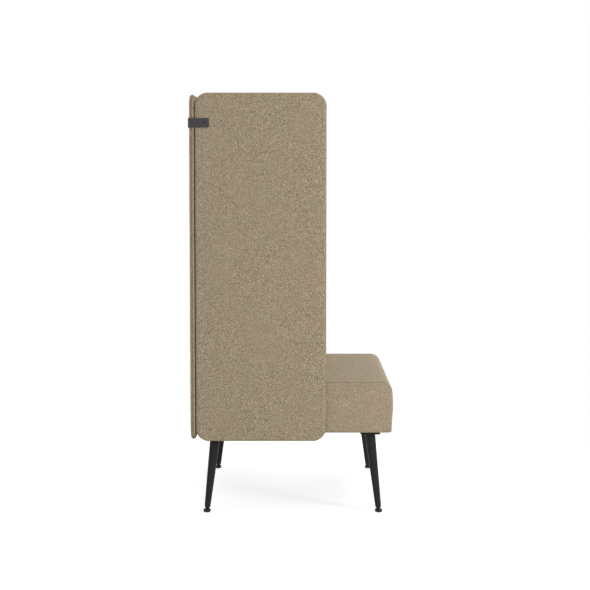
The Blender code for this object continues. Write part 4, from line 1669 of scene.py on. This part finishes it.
@dataclass
class SplayedLegs:
    """Four tapered tubes under bolted plates, each on a screwed levelling glide."""

    book: FinishBook
    ball_height: float = 7 * MM
    leg_end: float = 9.6 * MM
    bottom_radius: float = 9.8 * MM
    top_radius: float = 17.2 * MM
    wall: float = 1.6 * MM
    lip_radius: float = 0.8 * MM
    bore_depth: float = 24 * MM
    overrun: float = 24 * MM
    bead_radius: float = 1.9 * MM
    bead_ripple: float = 0.22 * MM
    plate_corner: float = 8 * MM
    bolt_pitch: float = 50 * MM
    hole: Countersink = Countersink(5.6 * MM, 2.9 * MM, 2.7 * MM)
    thread_pitch: float = 1.25 * MM
    thread_radius: float = 3.95 * MM
    thread_depth: float = 0.62 * MM
    thread_length: float = 28 * MM
    nut_flats: float = 13 * MM
    nut_bottom: float = 5.3 * MM
    nut_top: float = 9.3 * MM
    # (radius, height) points in mm, from the glide's ball
    pin_section: tuple[tuple[float, float], ...] = (
        (0, -2.6), (2.2, -2.6), (2.2, 3.0), (2.7, 3.0), (3.1, 3.3), (3.4, 4.4), (4.6, 5.4),
    )
    pad_section: tuple[tuple[float, float], ...] = (
        (4.45, 3.1), (4.7, 3.4), (5.7, 3.4), (6.2, 3.15), (8.5, 2.95), (11.0, 2.6), (11.8, 2.2), (12.2, 1.7),
        (12.3, 1.1), (12.3, -1.9), (12.1, -2.5), (11.5, -2.9), (11.1, -4.4), (10.7, -6.3), (10.4, -6.8),
        (10.0, -7.0), (6.0, -7.0), (0.0, -7.0),
    )
    # the pad's socket: its radius in mm, and how far round from its floor it goes
    socket_radius: float = 5.0
    socket_angle: float = 2.094

    def leg_frame(self, name: str) -> tuple[Matrix, float]:
        """Find a leg's axis from its CAD pad and plate.

        Args:
            name: the leg's corner.

        Returns:
            The frame at the glide's ball with +Z up the leg, and the leg's length from there.
        """
        foot, top = under_middle(f"{name}_glide_pad"), under_middle(f"{name}_leg_plate")
        foot.z = self.ball_height
        upwards = (top - foot).normalized()
        outwards = Vector((foot.x - top.x, foot.y - top.y, 0.0)).normalized()
        leaning = (outwards - upwards * outwards.dot(upwards)).normalized()
        return frame_of(foot, leaning, upwards.cross(leaning)), (top - foot).length

    def tube(self, length: float) -> bpy.types.Object:
        """Model the tapered tube along +Z, longer than the leg.

        Args:
            length: the leg's length from the ball to the plate.

        Returns:
            The tube, to be copied.
        """
        growth = (self.top_radius - self.bottom_radius) / (length - self.leg_end)
        run = length - self.leg_end + self.overrun
        piece = Workshop.started(
            "leg_blank",
            bpy.ops.mesh.primitive_cone_add,
            vertices=72,
            radius1=self.bottom_radius,
            radius2=self.bottom_radius + growth * run,
            depth=run,
            location=(0, 0, self.leg_end + run / 2),
        )
        with Workshop.editing(piece):
            end = self.leg_end + 0.05 * MM
            Workshop.bevel(piece, lambda p, d: p.z < end, self.lip_radius, 3)
            Workshop.choose(piece, Domain.FACES, lambda p, n: n.z < -0.9 and p.z < end)
            bpy.ops.mesh.inset(thickness=self.wall - self.lip_radius)
            bpy.ops.mesh.extrude_region_move(TRANSFORM_OT_translate={"value": (0, 0, self.bore_depth)})
            share = 1 + growth * self.bore_depth / (self.bottom_radius - self.wall)
            bpy.ops.transform.resize(value=(share, share, 1.0), center_override=(0, 0, 0))
        return piece

    def bead(self) -> bpy.types.Object:
        """Model the rippled weld bead round the tube's top, on the plane z = 0.

        Returns:
            The bead, to be copied.
        """
        piece = Workshop.started(
            "bead_blank",
            bpy.ops.mesh.primitive_torus_add,
            major_radius=self.top_radius,
            minor_radius=self.bead_radius,
            major_segments=144,
            minor_segments=12,
        )
        x, y, z = Workshop.points(piece).T
        angle, radius = np.arctan2(y, x), np.hypot(x, y)
        ripple = self.bead_ripple * np.abs(np.sin(angle * 18 + 0.4 * np.sin(angle * 3)))
        swell = (radius - self.top_radius) / self.bead_radius
        radius = radius + ripple * np.clip(swell + 0.3, 0, 1)
        lower = z - ripple * np.clip(-z / self.bead_radius, 0, 1)
        Workshop.move_points(piece, np.stack([radius * np.cos(angle), radius * np.sin(angle), lower], axis=1))
        Workshop.smoothed(piece, 60.0)
        return piece

    def plate(self) -> bpy.types.Object:
        """Model the square plate with round corners, its underside on z = 0.

        Returns:
            The plate, to be copied.
        """
        low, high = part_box("front_right_leg_plate")
        half, thick = (high.x - low.x) / 2, high.z - low.z
        piece = Workshop.block("plate_blank", (-half, -half, 0), (half, half, thick))
        with Workshop.editing(piece):
            Workshop.bevel(piece, lambda p, d: abs(d.z) > 0.9, self.plate_corner, 10)
        Workshop.softened(piece, 0.6 * MM, 3, 60.0)
        for x, y in self.bolt_places():
            seat = Matrix.Translation((x, y, 0.0)) @ Matrix.Rotation(math.pi, 4, "X")
            self.hole.cut(piece, seat)
        Workshop.smoothed(piece, 30.0)
        return piece

    def bolt_places(self) -> list[tuple[float, float]]:
        """Place a plate's bolts round its middle."""
        reach = self.bolt_pitch / 2
        return [(x, y) for x in (-reach, reach) for y in (-reach, reach)]

    def stem(self) -> bpy.types.Object:
        """Model the glide's screw: pin, neck, hexagon and thread.

        Returns:
            The screw, along +Z from the ball's centre.
        """
        root, top = self.thread_radius - self.thread_depth, self.nut_top + self.thread_length
        radius, end = root / MM, top / MM
        shank = ((radius, 5.7), (radius, end - 0.8), (radius - 0.7, end), (0, end))
        core = Workshop.turned("stem_core", [(r * MM, z * MM) for r, z in self.pin_section + shank], 32)
        nut = Workshop.started(
            "stem_nut",
            bpy.ops.mesh.primitive_cylinder_add,
            vertices=6,
            radius=self.nut_flats / math.sqrt(3),
            depth=self.nut_top - self.nut_bottom,
            location=(0, 0, (self.nut_top + self.nut_bottom) / 2),
        )
        Workshop.softened(nut, 0.35 * MM, 3)
        thread = self.thread(root, top)
        piece = Workshop.joined("stem_blank", [core, nut, thread])
        Workshop.smoothed(piece, 35.0)
        return piece

    def thread(self, root: float, top: float) -> bpy.types.Object:
        """Wind the thread's ridge round the shank.

        Args:
            root: the shank's radius.
            top: the height of the shank's end.

        Returns:
            The ridge.
        """
        pitch, start = self.thread_pitch, self.nut_top + 0.4 * MM
        sunk, crest = 0.1 * MM, 0.16 * MM
        rise, flank = self.thread_radius - root + sunk, 0.5 * pitch - crest / 2
        piece = Workshop.started(
            "stem_thread", bpy.ops.mesh.primitive_plane_add, size=MM, location=(root - sunk, 0, start)
        )
        with Workshop.editing(piece):
            Workshop.draw(((rise, flank), (0.0, crest), (-rise, flank)))
            bpy.ops.mesh.edge_face_add()
            bpy.ops.mesh.delete(type="ONLY_FACE")
        turns = int((top - start - 1.2 * MM) / pitch)
        Workshop.modified(
            piece,
            "SCREW",
            screw_offset=pitch,
            iterations=turns,
            steps=24,
            render_steps=24,
            use_merge_vertices=False,
        )
        with Workshop.editing(piece, whole=True):
            bpy.ops.mesh.fill_holes(sides=6)
        Workshop.closed(piece)
        return piece

    def pad(self) -> bpy.types.Object:
        """Turn the two-tiered floor pad with its socket.

        Returns:
            The pad, its ball's centre at the origin.
        """
        ball, angles = self.socket_radius, np.linspace(0, self.socket_angle, 12)
        socket = [(ball * math.sin(angle), -ball * math.cos(angle)) for angle in angles]
        profile = [*socket, *self.pad_section]
        piece = Workshop.turned("pad_blank", [(r * MM, z * MM) for r, z in profile], 64)
        Workshop.smoothed(piece, 40.0)
        return piece

    def build(self) -> None:
        """Model one leg's pieces and set copies of them at the four corners."""
        bolt = SocketScrew(
            name="bolt_blank",
            head_radius=5.2 * MM,
            head_height=2.8 * MM,
            socket_radius=2.0 * MM,
            socket_depth=1.8 * MM,
            countersunk=True,
            shank_radius=2.6 * MM,
        )
        tube = self.tube(self.leg_frame(CORNERS[0])[1])
        blanks = [tube, self.bead(), self.plate(), self.stem(), self.pad(), bolt.build()]
        for name in CORNERS:
            self.stand(name, *blanks)
        Workshop.discard(*blanks)

    def stand(self, name: str, *blanks: bpy.types.Object) -> None:
        """Set one leg up at its corner.

        Args:
            name: the leg's corner.
            blanks: the tube, bead, plate, stem, pad and bolt to copy.
        """
        tube, bead, plate, stem, pad, bolt = blanks
        place, _ = self.leg_frame(name)
        under = under_middle(f"{name}_leg_plate")
        leg = Workshop.copied(tube, f"{name}_leg_tube", place)
        with Workshop.editing(leg, whole=True):
            bpy.ops.mesh.bisect(
                plane_co=under - 0.1 * MM * Z_AXIS, plane_no=(0, 0, 1), use_fill=True, clear_outer=True
            )
        Workshop.smoothed(leg, 30.0)
        weld = Workshop.copied(bead, f"{name}_weld_bead", Matrix.Translation(under - 0.3 * MM * Z_AXIS))
        top = Workshop.copied(plate, f"{name}_plate", Matrix.Translation(under))
        down = Matrix.Rotation(math.pi, 4, "X")
        bolts = [
            Workshop.copied(bolt, "bolt", Matrix.Translation(under + Vector((x, y, 0.25 * MM))) @ down)
            for x, y in self.bolt_places()
        ]
        bolts = Workshop.joined(f"{name}_plate_bolts", bolts)
        for piece, node in ((leg, f"{name}_leg"), (weld, None), (top, f"{name}_leg_plate"), (bolts, None)):
            self.book.lay(piece, Slot.BLACK_COAT)
            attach(piece, CHAIR)
            if node:
                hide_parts(node)
        screw = Workshop.copied(stem, f"{name}_glide_screw", place)
        self.book.lay(screw, Slot.BLACK_COAT)
        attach(screw, f"{name}_stem")
        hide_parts(f"{name}_glide_stem")
        foot = Workshop.copied(pad, f"{name}_floor_pad", Matrix.Translation(place.translation))
        self.book.lay(foot, Slot.NYLON)
        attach(foot, f"{name}_pad")
        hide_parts(f"{name}_glide_pad")


@dataclass
class Studio:
    """A white floor and backdrop, soft lamps, and the camera at the photograph's place."""

    camera_place: Place = (-4.4848, -0.0119, 1.1477)
    camera_pitch: float = math.radians(3.6087)
    lens: float = 78.2373
    shift: float = -0.085
    ambient: float = 0.46
    floor_reach: float = 1.5
    # each lamp's name, place, aim, side in metres and watts
    lamps: tuple[tuple[str, Place, Place, float, float], ...] = (
        ("front_lamp", (-2.2, -3.2, 1.8), (0.0, -0.1, 0.6), 1.0, 60.0),
        ("side_lamp", (-3.9, -1.0, 0.9), (0.0, 0.0, 0.7), 2.4, 21.5),
        ("far_lamp", (3.4, -2.0, 1.9), (0.0, 0.0, 0.7), 2.6, 45.0),
        ("rear_lamp", (-0.6, 3.8, 2.0), (0.0, 0.2, 0.8), 2.6, 30.0),
        ("top_lamp", (0.0, -0.6, 3.4), (0.0, 0.0, 0.0), 3.0, 22.0),
    )

    def build(self) -> None:
        """Set the studio up."""
        self.world()
        self.floor()
        for lamp in self.lamps:
            self.lamp(*lamp)
        self.camera()

    def camera(self) -> None:
        """Aim the camera along +X, and a little down, from the photograph's place."""
        lens = bpy.data.cameras.new("photo_camera")
        lens.lens, lens.sensor_width = self.lens, 36.0
        lens.shift_y = self.shift
        lens.clip_start, lens.clip_end = 0.05, 60.0
        camera = bpy.data.objects.new("photo_camera", lens)
        camera.location = self.camera_place
        camera.rotation_euler = (math.pi / 2 - self.camera_pitch, 0.0, -math.pi / 2)
        bpy.context.scene.collection.objects.link(camera)
        bpy.context.scene.camera = camera

    def lamp(self, name: str, place: Place, aim: Place, size: float, power: float) -> None:
        """Hang one soft lamp.

        Args:
            name: its name.
            place: where it hangs.
            aim: what it faces.
            size: its side.
            power: its watts.
        """
        light = bpy.data.lights.new(name, "AREA")
        light.size, light.energy = size, power
        lamp = bpy.data.objects.new(name, light)
        lamp.location = place
        lamp.rotation_euler = (Vector(aim) - Vector(place)).to_track_quat("-Z", "Y").to_euler()
        bpy.context.scene.collection.objects.link(lamp)

    @staticmethod
    def seen(bench: MaterialBench) -> Shade:
        """Find whether the camera, or a mirror or glass, looks at the surface.

        Args:
            bench: the nodes to work in.

        Returns:
            1 for such rays and 0 for the light that falls on things.
        """
        path = bench.node("ShaderNodeLightPath")
        camera, glossy, through = (
            Shade(bench, path.outputs[f"Is {key} Ray"]) for key in ("Camera", "Glossy", "Transmission")
        )
        return camera.worked("MAXIMUM", camera.worked("MAXIMUM", camera, glossy), through)

    def world(self) -> None:
        """Make the backdrop white to look at and softer as a light."""
        world = bpy.data.worlds.new("white_studio")
        world.use_nodes = True
        bpy.context.scene.world = world
        bench = MaterialBench("world_nodes")
        bench.tree = world.node_tree
        background = world.node_tree.nodes["Background"]
        seen = self.seen(bench)
        bench.feed(background.inputs["Color"], (1.0, 1.0, 1.0))
        bench.feed(background.inputs["Strength"], self.ambient + (1.0 - self.ambient) * seen)
        bpy.data.materials.remove(bench.material)

    def floor(self) -> None:
        """Lay the floor: white to look at, with the chair's soft shadow on it."""
        floor = Workshop.started("studio_floor", bpy.ops.mesh.primitive_plane_add, size=40.0)
        bench = MaterialBench("white_floor")
        away = bench.node("ShaderNodeVectorMath", {"operation": "LENGTH"}, {0: bench.coordinates})
        near = Shade(bench, away.outputs["Value"]).between(self.floor_reach, 0.7)
        seen = self.seen(bench)
        paint = bench.node("ShaderNodeBsdfDiffuse", None, {"Color": (0.86, 0.86, 0.86)})
        lift = bench.node("ShaderNodeEmission", None, {"Color": (1.0, 1.0, 1.0), "Strength": 0.55})
        white = bench.node("ShaderNodeEmission", None, {"Color": (1.0, 1.0, 1.0), "Strength": 1.0})
        lifted = bench.node("ShaderNodeAddShader", None, {0: paint.outputs[0], 1: lift.outputs[0]})
        shown = bench.node("ShaderNodeMixShader", None, {0: near, 1: white.outputs[0], 2: lifted.outputs[0]})
        either = bench.node("ShaderNodeMixShader", None, {0: seen, 1: paint.outputs[0], 2: shown.outputs[0]})
        bench.feed(bench.tree.nodes["Material Output"].inputs["Surface"], either.outputs[0])
        floor.data.materials.append(bench.material)


def main() -> None:
    """Build the studio and dress the chair, one sub-assembly after another."""
    logging.basicConfig(level=logging.INFO, format="%(message)s", stream=sys.stdout)
    bpy.context.scene.view_settings.view_transform = "Standard"
    Studio().build()
    book = FinishBook()
    book.dress_frame()
    for name in ("right_screen", "left_screen", "back_screen"):
        PaddedScreen(name, book).build()
    Upholstery(book).build()
    CornerClips(book).build()
    SeatBase(book).build()
    SplayedLegs(book).build()


if __name__ == "__main__":
    main()
